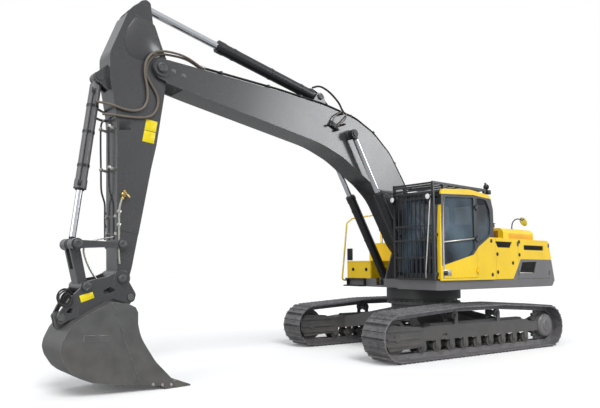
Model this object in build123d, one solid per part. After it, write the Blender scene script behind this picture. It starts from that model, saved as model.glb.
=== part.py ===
from build123d import *
import math
import os

# Crawler excavator of the 36 tonne class, in millimetres.
# +X is forward along the boom, +Y the machine's left with the cab, +Z up.
# The origin is on the ground under the swing axis.

# Undercarriage, drawn along its own axes and then turned by SWING under the house
SWING = 6.8
GAUGE = 2640
TUMBLER = 4320
SHOE_WIDTH = 600
TRACK_RADIUS = 440
GROUSER = 26
SHOE_PLATE = 14
CHAIN_HEIGHT = 96
CHAIN_INNER = 58
CHAIN_OUTER = 104
SHOES = 51
GROUSERS_PER_SHOE = 3
CARRIER_X = 620
CARRIER_RISE = 90
RUN_GAP = 0.3
BOTTOM_ROLLERS = 9
ROLLER_PITCH = 375
ROLLER_R = 92
CARRIER_R = 72
FRAME_HALF = 150
FRAME_LOW = 346
HUB_R = 245
SPROCKET_TEETH = 21

# Slewing ring and house
RING_R = 690
RING_WALL = 90
HOUSE_FLOOR = 1250
FLOOR_PLATE = 40
SKIRT_TOP = 1430
HOUSE_HALF = 1460
TAIL_R = 3360
TAIL_LEAN = 200
TAIL_TOP_R = TAIL_R - TAIL_LEAN
PANEL_TOP = 2290
PANEL = 36
SEAM_B = -543
SEAM_C = -1425
SEAM_D = -2790
LIFT_EYE_X = 275 - TAIL_TOP_R
LIFT_EYE_Y = 900
LIFT_EYE_WALL = 50
LIFT_EYE_R = 32
LIFT_EYE_RISE = 55
SEAT = 0.3
TOOLBOX_REAR = 230
TOOLBOX_FRONT = 925
TOOLBOX_TOP = 1780
FUEL_TANK_TOP = 2230

# Cab
CAB_FRONT = 1400
CAB_REAR = -420
CAB_OUT = 1500
CAB_IN = 500
CAB_LOW = 1430
CAB_ROOF = 3150
CAB_WALL = 60
DOOR_REAR = 205
GUARD_X = 1540
GUARD_LOW = 1440
GUARD_TOP = 3270
GUARD_BARS = 8
HINGE_X = DOOR_REAR - 8
HINGE_Y = 1514
HINGE_R = 13
HINGE_ZS = (1620, 2230, 2860)

# Boom, in a frame with its origin on the foot pin and u along the chord
FOOT_X = 497
FOOT_Z = 2015
BOOM_LENGTH = 6495
BOOM_DEG = 23.68
BOOM_HALF = 250
FOOT_PIN = 60
TIP_PIN = 55
FORK_SLOT = 6030
FORK_INNER = 206
BOOM_CYL_PIN = (2737, 1180)
ARM_CYL_BASE = (3560, 1555)

# Arm, in a frame with its origin on the boom's tip pin and s towards the bucket
ARM_LENGTH = 3157
ARM_DEG = -81.07
ARM_HALF = 198
ARM_END_HALF = 190
LEVER_PIN = (-917, 363)
BUCKET_CYL_BASE = (419, 814)
GUIDE_PIN = (ARM_LENGTH - 467, 83)
ROCKER_PIN = (ARM_LENGTH - 362, 690)
LINK_PIN = (ARM_LENGTH + 174, 462)
LINK_HALF = 118
LINK_EYE_HALF = 184
ARM_PIN = 50
GUIDE_R = 45

# Cylinders: lengths from the base pin at rest come from the pins
PIN_GAP = 0.5
SHAFT_FIT = 0.05
BOOM_CYL_BASE = (780, 1400)
BOOM_CYL_Y = 385
FOOT_PLATE_IN = 262
FOOT_PLATE_OUT = 292
CLEVIS_IN = 443
CLEVIS_OUT = 470
BOOM_CYL = dict(tube=86, bore=72, rod=52, gland=2020, rod_length=1850, eye=84, half=50, neck=120)
ARM_CYL = dict(tube=100, bore=82, rod=60, gland=2245, rod_length=2150, eye=88, half=70, neck=130)
BUCKET_CYL = dict(tube=78, bore=62, rod=45, gland=1605, rod_length=1600, eye=76, half=60, neck=112)
CYL_PIN = 50

# Bucket and coupler, measured from the bucket's pivot
BUCKET_HALF = 560
BUCKET_TAPER = 0.1087
BUCKET_WALL = 26
BUCKET_SIDE = 30
TEETH = 5
COUPLER_IN = 200
COUPLER_OUT = 240
BUCKET_PIN = 45
FRONT_BUCKET_PIN = (-130, -255)
REAR_BUCKET_PIN = (755, -490)


# General shapes

AXES = {
    "XZ": (lambda a, b, c: (a, c, b), Vector(0, 1, 0)),
    "XY": (lambda a, b, c: (a, b, c), Vector(0, 0, 1)),
    "YZ": (lambda a, b, c: (c, a, b), Vector(1, 0, 0)),
}


def slab(corners, plane, low, high):
    """Extrude an outline. Each corner is (across, up) or (across, up, fillet radius)."""
    place, normal = AXES[plane]
    corners = [corner if len(corner) == 3 else (*corner, 0) for corner in corners]
    count = len(corners)
    starts, ends, middles = [], [], []
    for i, (a, b, radius) in enumerate(corners):
        here = Vector(a, b)
        back = Vector(*corners[i - 1][:2]) - here
        ahead = Vector(*corners[(i + 1) % count][:2]) - here
        half = math.radians(back.get_angle(ahead)) / 2
        reach = radius / math.tan(half) if radius else 0
        starts.append(here + back.normalized() * reach)
        ends.append(here + ahead.normalized() * reach)
        if radius:
            inward = (back.normalized() + ahead.normalized()).normalized()
            middles.append(here + inward * (radius / math.sin(half) - radius))
        else:
            middles.append(None)
    edges = []
    for i in range(count):
        if middles[i]:
            arc = [place(p.X, p.Y, low) for p in (starts[i], middles[i], ends[i])]
            edges.append(Edge.make_three_point_arc(*arc))
        line_end = starts[(i + 1) % count]
        if (line_end - ends[i]).length > 1e-4:
            ends_of_line = [place(p.X, p.Y, low) for p in (ends[i], line_end)]
            edges.append(Edge.make_line(*ends_of_line))
    return extrude(Face(Wire(edges)), amount=high - low, dir=normal)


def both(corners, plane, inner, outer):
    """The same outline on both sides of the middle plane."""
    return slab(corners, plane, inner, outer) + slab(corners, plane, -outer, -inner)


def block(x0, x1, y0, y1, z0, z1):
    """A box given by its limits."""
    return Pos((x0 + x1) / 2, (y0 + y1) / 2, (z0 + z1) / 2) * Box(x1 - x0, y1 - y0, z1 - z0)


def rod_y(x, z, radius, y0, y1):
    """A round bar along Y."""
    return Pos(x, (y0 + y1) / 2, z) * Rot(90, 0, 0) * Cylinder(radius, y1 - y0)


def rods_y(x, z, radius, inner, outer):
    """Two round bars along Y, one on each side."""
    return rod_y(x, z, radius, inner, outer) + rod_y(x, z, radius, -outer, -inner)


def rod_z(x, y, radius, z0, z1):
    """A round bar along Z."""
    return Pos(x, y, (z0 + z1) / 2) * Cylinder(radius, z1 - z0)


def rod_between(start, end, radius):
    """A round bar between two points."""
    start, end = Vector(*start), Vector(*end)
    return extrude(Plane(origin=start, z_dir=end - start) * Circle(radius), (end - start).length)


def turned(profile):
    """Revolve (radius, height) points round a local axis that is then laid along Y."""
    half = make_face(Polyline(*[(r, h) for r, h in profile], close=True))
    solid = revolve(Plane.XZ * half, Axis.Z)
    return Rot(90, 0, 0) * solid


def local_frame(x, z, degrees):
    """A frame whose first axis rises by an angle in the XZ plane."""
    return Pos(x, 0, z) * Rot(0, -degrees, 0)


def world_point(x, z, degrees, point):
    """Where a point of such a frame lies in X and Z."""
    c, s = math.cos(math.radians(degrees)), math.sin(math.radians(degrees))
    return (x + point[0] * c - point[1] * s, z + point[0] * s + point[1] * c)


TIP = world_point(FOOT_X, FOOT_Z, BOOM_DEG, (BOOM_LENGTH, 0))
BOOM_FRAME = local_frame(FOOT_X, FOOT_Z, BOOM_DEG)
ARM_FRAME = local_frame(TIP[0], TIP[1], ARM_DEG)


def boom_point(point):
    return world_point(FOOT_X, FOOT_Z, BOOM_DEG, point)


def arm_point(point):
    return world_point(TIP[0], TIP[1], ARM_DEG, point)


BUCKET_PIVOT = arm_point((ARM_LENGTH, 0))
LINK_END = arm_point(LINK_PIN)


# Undercarriage

TRACK_Z = TRACK_RADIUS
CHAIN_R = TRACK_RADIUS - GROUSER - SHOE_PLATE - CHAIN_HEIGHT


def track_outline(levels):
    """The track's outer edge. levels are (share of a pitch, distance from the inner rail)."""
    half = TUMBLER / 2
    tilt = math.degrees(math.atan2(CARRIER_RISE, half - CARRIER_X))
    pitch_r = CHAIN_R + CHAIN_HEIGHT / 2
    slope = (half - CARRIER_X) / math.cos(math.radians(tilt))
    turn = 180 - tilt
    # Each stretch: length, start centre, start direction of the outward normal, turn in degrees
    stretches = [
        (2 * half, (-half, TRACK_Z), -90, 0),
        (math.radians(turn) * pitch_r, (half, TRACK_Z), -90, turn),
        (slope, (half, TRACK_Z), 90 - tilt, 0),
        (2 * CARRIER_X, (CARRIER_X, TRACK_Z + CARRIER_RISE), 90, 0),
        (slope, (-CARRIER_X, TRACK_Z + CARRIER_RISE), 90 + tilt, 0),
        (math.radians(turn) * pitch_r, (-half, TRACK_Z), 90 + tilt, turn),
    ]
    total = sum(stretch[0] for stretch in stretches)
    points = []
    for shoe in range(SHOES):
        for share, level in levels:
            station = (shoe + share) * total / SHOES
            for length, centre, direction, turning in stretches:
                if station <= length:
                    break
                station -= length
            angle = math.radians(direction + turning * station / length)
            normal = Vector(math.cos(angle), math.sin(angle))
            along = Vector(-normal.Y, normal.X) * (0 if turning else station)
            place = Vector(*centre) + along + normal * (CHAIN_R + level)
            points.append((place.X, place.Y))
    return points


def stadium(radius):
    """The plain loop at a radius, as slab corners."""
    half = TUMBLER / 2
    low, top = TRACK_Z - radius, TRACK_Z + radius + CARRIER_RISE
    end = half + radius
    tilt = math.atan2(CARRIER_RISE, half - CARRIER_X)
    crown = CARRIER_X + radius * math.tan(tilt / 2)
    slant = top - (end - crown) * math.tan(tilt)
    return [
        (-end, low, radius - 0.01), (end, low, radius - 0.01), (end, slant, radius - 0.01),
        (crown, top), (-crown, top), (-end, slant, radius - 0.01),
    ]


def track():
    """One loop with its shoes and grousers in the outline, and the two rails of its chain."""
    plate = CHAIN_HEIGHT + SHOE_PLATE
    tip = plate + GROUSER
    gap = 0.03
    levels = [(0.0, CHAIN_HEIGHT), (gap, plate)]
    width = 0.09
    for n in range(GROUSERS_PER_SHOE):
        middle = gap + width / 2 + (1 - 2 * gap - width) * n / (GROUSERS_PER_SHOE - 1)
        if n:
            levels.append((middle - width / 2, plate))
        levels.append((middle, tip))
        levels.append((middle + width / 2, plate))
    levels.append((1 - gap / 2, CHAIN_HEIGHT))
    half_width = SHOE_WIDTH / 2
    shoes = slab(track_outline(levels), "XZ", -half_width, half_width)
    shoes -= slab(stadium(CHAIN_R + CHAIN_HEIGHT - 8), "XZ", -half_width - 1, half_width + 1)
    rail = slab(stadium(CHAIN_R + CHAIN_HEIGHT - 4), "XZ", CHAIN_INNER, CHAIN_OUTER)
    rail -= slab(stadium(CHAIN_R), "XZ", CHAIN_INNER - 1, CHAIN_OUTER + 1)
    return shoes + rail + mirror(rail, Plane.XZ)


def idler():
    """Front idler: two treads on the rails, a flange between them and a hub."""
    tread = CHAIN_R - RUN_GAP
    profile = [
        (0, -118), (62, -118), (62, -96), (tread - 60, -70), (tread - 60, -CHAIN_OUTER),
        (tread, -CHAIN_OUTER), (tread, -CHAIN_INNER + 3), (tread + 28, -CHAIN_INNER + 14),
        (tread + 28, CHAIN_INNER - 14), (tread, CHAIN_INNER - 3), (tread, CHAIN_OUTER),
        (tread - 60, CHAIN_OUTER), (tread - 60, 70), (62, 96), (62, 118), (0, 118),
    ]
    return Pos(TUMBLER / 2, 0, TRACK_Z) * turned(profile)


def sprocket(side):
    """Drive sprocket with its final drive case, which stands out on the outer side."""
    tip = CHAIN_R + 42
    root = CHAIN_R - 10
    points = []
    for tooth in range(SPROCKET_TEETH):
        for share, radius in ((0.0, root), (0.30, root), (0.45, tip), (0.85, tip)):
            angle = 2 * math.pi * (tooth + share) / SPROCKET_TEETH
            points.append((radius * math.cos(angle), radius * math.sin(angle)))
    wheel = slab(points, "XZ", -28, 28)
    case_profile = [
        (0, -120), (150, -120), (150, -60), (HUB_R, -40), (HUB_R, 150), (HUB_R - 25, 175),
        (120, 185), (110, 196), (0, 196),
    ]
    case = turned(case_profile)
    whole = wheel + (case if side < 0 else mirror(case, Plane.XZ))
    return Pos(-TUMBLER / 2, 0, TRACK_Z) * whole


def roller(x, z, radius, flange):
    """A track roller: two treads, side flanges and a through shaft."""
    profile = [
        (0, -165), (28, -165), (28, -122), (flange, -120), (flange, -107), (radius, -105),
        (radius, -56), (radius - 22, -50), (radius - 22, 50), (radius, 56), (radius, 105),
        (flange, 107), (flange, 120), (28, 122), (28, 165), (0, 165),
    ]
    return Pos(x, 0, z) * turned(profile)


ROLLER_Z = TRACK_Z - CHAIN_R + ROLLER_R + RUN_GAP
CARRIER_Z = TRACK_Z + CHAIN_R + CARRIER_RISE - CARRIER_R - RUN_GAP
ROLLER_XS = [(n - (BOTTOM_ROLLERS - 1) / 2) * ROLLER_PITCH for n in range(BOTTOM_ROLLERS)]


def track_frame(side):
    """Box beam between the runs, with roller brackets, idler guard and final drive seat."""
    beam = slab(
        [(-1900, FRAME_LOW), (1700, FRAME_LOW), (1700, 560, 30), (1300, 600), (-1500, 600),
         (-1700, 540), (-1900, 540)], "XZ", -FRAME_HALF, FRAME_HALF)
    top = slab([(-110, 590), (110, 590), (60, 640), (-60, 640)], "YZ", -1450, 1250)
    beam += top
    beam -= both([(880, 390, 28), (1020, 390, 28), (1020, 450, 28), (880, 450, 28)], "XZ",
                 FRAME_HALF - 24, FRAME_HALF + 1)
    for x in ROLLER_XS:
        hanger = both([(x - 55, ROLLER_Z - 45, 20), (x + 55, ROLLER_Z - 45, 20),
                       (x + 62, FRAME_LOW + 5), (x - 62, FRAME_LOW + 5)], "XZ", 126, FRAME_HALF)
        beam += hanger
        beam -= rod_y(x, ROLLER_Z, 28 + RUN_GAP, -170, 170)
    for x in (CARRIER_X, -CARRIER_X):
        post = both([(x - 45, 596), (x + 45, 596), (x + 38, CARRIER_Z + 34, 30),
                     (x - 38, CARRIER_Z + 34, 30)], "XZ", 126, FRAME_HALF)
        beam += post
        beam -= rod_y(x, CARRIER_Z, 28 + RUN_GAP, -170, 170)
    idler_x = TUMBLER / 2
    guard = both([(1570, 250), (2330, 210, 40), (2430, 330, 60), (2430, 560, 60),
                  (2330, 660, 40), (1570, 600)], "XZ", 122, 168)
    for z in (285, 400, 545):
        guard += both([(1600, z), (2400, z), (2400, z + 36), (1600, z + 36)], "XZ", 166, 186)
    beam += guard
    beam -= rod_y(idler_x, TRACK_Z, 62 + RUN_GAP, -200, 200)
    beam += rods_y(idler_x, TRACK_Z, 78, 118 + RUN_GAP, 186)
    cheek = slab([(-1890, 300), (-2160, 220, 120), (-2300, 440, 160), (-2160, 640, 120),
                  (-1890, 560)], "XZ", 90, FRAME_HALF)
    if side > 0:
        cheek = mirror(cheek, Plane.XZ)
    cheek_hole = Pos(-TUMBLER / 2, 0, TRACK_Z) * Rot(90, 0, 0) * Cylinder(150 + RUN_GAP, 400)
    clear = Pos(-TUMBLER / 2, 0, TRACK_Z) * Rot(90, 0, 0) * Cylinder(CHAIN_R + 55, 76)
    return beam - clear + (cheek - cheek_hole)


def centre_frame():
    """Round pedestal under the slewing ring with four legs that reach the track frames."""
    drum = rod_z(0, 0, RING_R, 560, 950) - rod_z(0, 0, RING_R - RING_WALL - 60, 620, 951)
    drum += rod_z(0, 0, RING_R + 90, 900, 950) - rod_z(0, 0, RING_R - 220, 890, 951)
    reach = GAUGE / 2 - FRAME_HALF
    leg_outline = [(0, 560), (reach, 345), (reach, 580), (0, 900)]
    legs = None
    for end in (1, -1):
        for side in (1, -1):
            plan = [(end * 80, 0), (end * 620, side * 200), (end * 1250, side * reach),
                    (end * 560, side * reach), (end * 80, side * 320)]
            column = slab(plan, "XY", 300, 1000)
            height = slab([(side * a, b) for a, b in leg_outline], "YZ", -1400, 1400)
            leg = column & height
            legs = leg if legs is None else legs + leg
    body = drum + legs
    body -= rod_z(0, 0, RING_R - 250, 300, 1000)
    body += rod_z(0, 0, RING_R - 240, 600, 640)
    return body


def slewing_ring():
    """Lower race, bolted to the pedestal."""
    ring = rod_z(0, 0, RING_R, 950, 1130) - rod_z(0, 0, RING_R - RING_WALL, 949, 1131)
    return ring


def upper_race():
    """Upper race, bolted under the house and running round the lower one."""
    outer = rod_z(0, 0, RING_R + 100, 1020, HOUSE_FLOOR)
    return outer - rod_z(0, 0, RING_R + RUN_GAP, 1019, HOUSE_FLOOR + 1)


def undercarriage():
    turn = Rot(0, 0, -SWING)
    nodes = {"centre_frame": [centre_frame()], "slewing_ring": [slewing_ring()]}
    wheels = {"track_frames": [], "idlers": [], "sprockets": [], "track_rollers": []}
    for name, side in (("left", 1), ("right", -1)):
        shift = Pos(0, side * GAUGE / 2, 0)
        nodes["track_" + name] = [shift * track()]
        wheels["track_frames"].append(shift * track_frame(side))
        wheels["idlers"].append(shift * idler())
        wheels["sprockets"].append(shift * sprocket(side))
        for x in ROLLER_XS:
            wheels["track_rollers"].append(shift * roller(x, ROLLER_Z, ROLLER_R, ROLLER_R + 14))
        for x in (CARRIER_X, -CARRIER_X):
            wheels["track_rollers"].append(shift * roller(x, CARRIER_Z, CARRIER_R, CARRIER_R + 12))
    nodes.update(wheels)
    return {name: [turn * solid for solid in solids] for name, solids in nodes.items()}


# House

def upper_frame():
    """Floor plate, side skirts, the two long plates that carry the boom, and its pins."""
    front_left, front_mid, front_right = CAB_FRONT + 20, 960, TOOLBOX_FRONT + 5
    mid_left, mid_right = CAB_IN - 20, -CAB_IN - 140
    plan = [(front_left, HOUSE_HALF, 60), (front_left, mid_left), (front_mid, mid_left),
            (front_mid, mid_right), (front_right, mid_right), (front_right, -HOUSE_HALF, 60),
            (SEAM_D - 2, -HOUSE_HALF), (SEAM_D - 2, HOUSE_HALF)]
    body = slab(plan, "XY", HOUSE_FLOOR, SKIRT_TOP)
    inner = [(front_left - 40, HOUSE_HALF - 40), (front_left - 40, mid_left + 40),
             (front_mid - 40, mid_left - 40), (front_mid - 40, mid_right + 40),
             (front_right - 40, mid_right - 40), (front_right - 40, -HOUSE_HALF + 40),
             (SEAM_D + 40, -HOUSE_HALF + 40), (SEAM_D + 40, HOUSE_HALF - 40)]
    body -= slab(inner, "XY", HOUSE_FLOOR + FLOOR_PLATE, SKIRT_TOP + 1)
    # The boom cylinders lie down into these two gaps in the front wall
    for y0, y1 in ((FOOT_PLATE_OUT - 8, mid_left - 0.5), (-CLEVIS_OUT - 25, -FOOT_PLATE_OUT + 8)):
        body -= block(front_mid - 45, front_mid + 1, y0, y1, HOUSE_FLOOR + FLOOR_PLATE, SKIRT_TOP + 1)
    pin_x, pin_z = BOOM_CYL_BASE
    plate = [(-1490, 1260), (pin_x + 60, 1260), (pin_x + 130, 1330, 60), (pin_x + 130, 1450, 90),
             (FOOT_X + 210, FOOT_Z - 60, 200), (FOOT_X + 90, FOOT_Z + 175, 150),
             (FOOT_X - 150, FOOT_Z + 140, 120), (-350, 1700, 200), (-1490, 1540)]
    body += both(plate, "XZ", FOOT_PLATE_IN, FOOT_PLATE_OUT)
    outer_plate = [(pin_x - 230, 1260), (pin_x + 90, 1260), (pin_x + 115, 1400, 80),
                   (pin_x + 20, 1510, 80), (pin_x - 90, 1500, 80)]
    body += both(outer_plate, "XZ", CLEVIS_IN, CLEVIS_OUT)
    body += rods_y(pin_x, pin_z, CYL_PIN, FOOT_PLATE_IN + 8, CLEVIS_OUT + 12)
    body += rod_y(FOOT_X, FOOT_Z, FOOT_PIN, -FOOT_PLATE_OUT - 14, FOOT_PLATE_OUT + 14)
    body += rods_y(FOOT_X, FOOT_Z, 150, BOOM_HALF + 5 + PIN_GAP, FOOT_PLATE_OUT + 6)
    return body


def counterweight():
    """Cast weight, turned about the swing axis, that narrows towards its top."""
    low = HOUSE_FLOOR + 4
    profile = [(0, low), (TAIL_R - 110, low), (TAIL_R - 70, low + 44), (TAIL_R, low + 126),
               (TAIL_TOP_R, PANEL_TOP - 40), (TAIL_TOP_R - 40, PANEL_TOP), (0, PANEL_TOP)]
    body = revolve(Plane.XZ * make_face(Polyline(*profile, close=True)), Axis.Z)
    body &= block(-TAIL_R - 1, SEAM_D - 2, -HOUSE_HALF, HOUSE_HALF, low - 1, PANEL_TOP + 1)
    for side in (1, -1):
        middle = side * LIFT_EYE_Y
        half = LIFT_EYE_WALL / 2
        lug = slab([(middle - 95, PANEL_TOP - 60), (middle + 95, PANEL_TOP - 60),
                    (middle + 70, PANEL_TOP + 122, 60), (middle - 70, PANEL_TOP + 122, 60)],
                   "YZ", LIFT_EYE_X - half, LIFT_EYE_X + half)
        lug -= (Pos(LIFT_EYE_X, middle, PANEL_TOP + LIFT_EYE_RISE) * Rot(0, 90, 0)
                * Cylinder(LIFT_EYE_R, LIFT_EYE_WALL + 20))
        body += lug
    return body


def side_opening(x0, x1, z0, z1, lean):
    """Corners of a slanted vent opening."""
    return [(x0, z0), (x1, z0), (x1 + lean, z1), (x0 - lean, z1)]


def left_rear_door():
    """Cooler door: yellow above, grey below, with a slot above and a recess below."""
    y0, y1 = HOUSE_HALF - PANEL, HOUSE_HALF
    door = slab([(SEAM_D + 4, SKIRT_TOP + 6, 20), (SEAM_C - 4, SKIRT_TOP + 6), (SEAM_C - 4, PANEL_TOP),
                 (SEAM_D + 4, PANEL_TOP, 60)], "XZ", y0, y1)
    door -= slab(side_opening(-2548, -1678, 2058, 2166, 6), "XZ", y1 - 20, y1 + 1)
    recess = [(-2098, 1550, 20), (-1475, 1556, 20), (-1586, 1792, 20), (-2219, 1805, 20)]
    door -= slab(recess, "XZ", y1 - 22, y1 + 1)
    return door


def left_front_door():
    y0, y1 = HOUSE_HALF - PANEL, HOUSE_HALF
    door = slab([(SEAM_C + 4, SKIRT_TOP + 6), (SEAM_B - 4, SKIRT_TOP + 6), (SEAM_B - 4, PANEL_TOP),
                 (SEAM_C + 4, PANEL_TOP)], "XZ", y0, y1)
    door -= slab(side_opening(-1102, -621, 2087, 2218, 98), "XZ", y1 - 16, y1 + 1)
    return door


def left_panel():
    """Fixed panel behind the cab, whose top edge sweeps up from the door."""
    y0, y1 = HOUSE_HALF - PANEL, HOUSE_HALF
    panel = slab([(SEAM_B + 4, SKIRT_TOP), (CAB_REAR - 14, SKIRT_TOP), (CAB_REAR - 14, PANEL_TOP),
                  (SEAM_B + 4, PANEL_TOP)], "XZ", y0, y1)
    post = block(SEAM_B + 4, CAB_REAR - 14, y0 - 80, y0, SKIRT_TOP, PANEL_TOP - 31)
    return panel + post


def right_panel():
    """Fixed right side behind the tanks."""
    y0, y1 = HOUSE_HALF - PANEL, HOUSE_HALF
    return slab([(SEAM_C + 4, SKIRT_TOP), (-1404, SKIRT_TOP), (-1404, PANEL_TOP),
                 (SEAM_C + 4, PANEL_TOP)], "XZ", -y1, -y0)


def right_door():
    y0, y1 = HOUSE_HALF - PANEL, HOUSE_HALF
    door = slab([(SEAM_D + 4, SKIRT_TOP + 6, 20), (SEAM_C - 4, SKIRT_TOP + 6), (SEAM_C - 4, PANEL_TOP),
                 (SEAM_D + 4, PANEL_TOP, 60)], "XZ", -y1, -y0)
    for n in range(5):
        z = 1960 + n * 52
        door -= block(-2350, -1850, -y1 - 1, -y1 + 14, z, z + 24)
    return door


def deck_top():
    """Fixed covers on top: a walkway behind the cab, and a frame round the engine hood."""
    z0, z1 = PANEL_TOP - 30, PANEL_TOP
    half = HOUSE_HALF - PANEL - SEAT
    front_part = block(SEAM_C, CAB_REAR - 14, 330, half, z0, z1)
    top = block(SEAM_D + 4, SEAM_C, -half, half, z0, z1)
    top -= block(SEAM_D + 120, SEAM_C - 60, -1000, 1060, z0 - 1, z1 + 1)
    wall = block(SEAM_C, SEAM_C + 20, -550, HOUSE_HALF - 42, HOUSE_FLOOR + FLOOR_PLATE, z0 + 1)
    wall -= block(SEAM_C - 1, SEAM_C + 31, -320, 320, 1200, 1620)
    return front_part + top + wall


def engine_hood():
    """Raised hood over the engine, hinged along its front edge."""
    x0, x1 = SEAM_D + 70, SEAM_C + 20
    right, left, top = 380 - HOUSE_HALF, HOUSE_HALF - 320, PANEL_TOP + 260
    shell = slab([(right, PANEL_TOP + SEAT), (left, PANEL_TOP + SEAT), (left, top - 80, 60),
                  (left - 80, top, 80), (right + 80, top, 80), (right, top - 80, 60)], "YZ", x0, x1)
    inner = slab([(right + 30, PANEL_TOP), (left - 30, PANEL_TOP), (left - 30, top - 100, 50),
                  (left - 100, top - 30, 60), (right + 100, top - 30, 60), (right + 30, top - 100, 50)],
                 "YZ", x0 + 30, x1 - 30)
    return shell - inner


def engine_block():
    return block(SEAM_D + 190, SEAM_C - 135, -640, 480, HOUSE_FLOOR + FLOOR_PLATE, PANEL_TOP - 140)


def cooler():
    left = HOUSE_HALF - 160
    return block(SEAM_D + 140, SEAM_C - 95, left - 240, left, HOUSE_FLOOR + FLOOR_PLATE, PANEL_TOP - 70)


def fuel_tank():
    tank = slab([(-640, -HOUSE_HALF + 2, 60), (170, -HOUSE_HALF + 2, 60), (170, -560, 60),
                 (-640, -560, 30)], "XY", HOUSE_FLOOR + FLOOR_PLATE, FUEL_TANK_TOP)
    skirt_cut = block(-700, 200, -HOUSE_HALF - 1, -HOUSE_HALF + 41, 1200, SKIRT_TOP)
    cap = rod_z(-100, -1000, 60, FUEL_TANK_TOP, 2290)
    return tank - skirt_cut + cap


def hydraulic_tank():
    tank = slab([(-1400, -HOUSE_HALF + 2, 30), (-650, -HOUSE_HALF + 2, 60), (-650, -560, 30),
                 (-1400, -560, 30)], "XY", HOUSE_FLOOR + FLOOR_PLATE, PANEL_TOP)
    return tank - block(-1450, -600, -HOUSE_HALF - 1, -HOUSE_HALF + 41, 1200, SKIRT_TOP)


def toolbox():
    """Box on the right front corner, open under its lid, with a step in front."""
    x0, x1, y0, y1 = TOOLBOX_REAR, TOOLBOX_FRONT, -HOUSE_HALF + 2, -700
    body = slab([(x0, y0, 40), (x1, y0, 90), (x1, y1, 60), (x0, y1, 40)], "XY",
                SKIRT_TOP, TOOLBOX_TOP)
    body -= slab([(x0 + 25, y0 + 25, 20), (x1 - 25, y0 + 25, 66), (x1 - 25, y1 - 25, 36),
                  (x0 + 25, y1 - 25, 20)], "XY", SKIRT_TOP + 26, TOOLBOX_TOP + 1)
    return body


def toolbox_lid():
    x0, x1, y0, y1 = TOOLBOX_REAR, TOOLBOX_FRONT + 10, -HOUSE_HALF, -690
    low = TOOLBOX_TOP + SEAT
    return slab([(x0, y0, 40), (x1, y0, 95), (x1, y1, 66), (x0, y1, 40)], "XY", low, low + 30)


def front_steps():
    """Two tread plates on hangers in front of the toolbox."""
    face = TOOLBOX_FRONT + 5
    steps = None
    for z, reach in ((1250, 170), (1400, 110)):
        step = block(face + RUN_GAP, face + reach, -1360, -820, z, z + 30)
        steps = step if steps is None else steps + step
    for y in (-1360, -850):
        steps += block(face + RUN_GAP, face + 70, y, y + 30, 1250, 1430)
    return steps


# Cab

def cab_outline(grow):
    """Side outline of the cab, with its leaning windscreen and arched roof."""
    g = grow
    return [(CAB_REAR - g, CAB_LOW - g), (CAB_FRONT + g, CAB_LOW - g), (CAB_FRONT + g, 2300),
            (CAB_FRONT - 70 + g, CAB_ROOF - 10 + g, 90), (430, CAB_ROOF + 62 + g, 1500),
            (CAB_REAR + 100 - g, CAB_ROOF - 5 + g, 140), (CAB_REAR - g, 2850, 200)]


def cab_shell():
    """Hollow cab: floor, posts and roof, with its windows and doorway cut through."""
    shell = slab(cab_outline(0), "XZ", CAB_IN, CAB_OUT)
    shell -= slab(cab_outline(-CAB_WALL), "XZ", CAB_IN + CAB_WALL, CAB_OUT - CAB_WALL)
    # Windows: front, rear, roof and right side
    shell -= block(CAB_FRONT - 300, CAB_FRONT + 50, CAB_IN + 70, CAB_OUT - 70, 1560, 3010)
    shell -= block(CAB_REAR - 50, CAB_REAR + 300, CAB_IN + 90, CAB_OUT - 90, 2260, 2960)
    shell -= block(500, 1150, CAB_IN + 160, CAB_OUT - 160, CAB_ROOF - 100, CAB_ROOF + 90)
    shell -= slab([(-300, 2150, 60), (1250, 1800, 60), (1230, 2990, 60), (-300, 2990, 60)], "XZ",
                  CAB_IN - 1, CAB_IN + CAB_WALL + 1)
    # Doorway, and the rear quarter window with its swept lower edge
    y0, y1 = CAB_OUT - CAB_WALL - 1, CAB_OUT + 1
    shell -= slab(door_outline(0), "XZ", y0, y1)
    shell -= slab(quarter_window(0), "XZ", y0, y1)
    for z in HINGE_ZS:
        for low, high in ((z - 60, z - 30), (z + 30, z + 60)):
            shell += rod_z(HINGE_X, HINGE_Y, HINGE_R, low, high)
            shell += block(HINGE_X - 26, HINGE_X, CAB_OUT, HINGE_Y + HINGE_R, low, high)
    return shell


def quarter_window(inset):
    """Corners of the window behind the door, with its swept lower edge."""
    g = inset
    front = DOOR_REAR - 30 - g
    return [(front, 2130 + g, 50), (front, 3056 - g, 40), (-150, 3050 - g, 120), (-290 + g, 2840, 150),
            (-300 + g, 2500, 150), (-255 + g, 2340, 60), (-120, 2270 + g, 60)]


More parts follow.
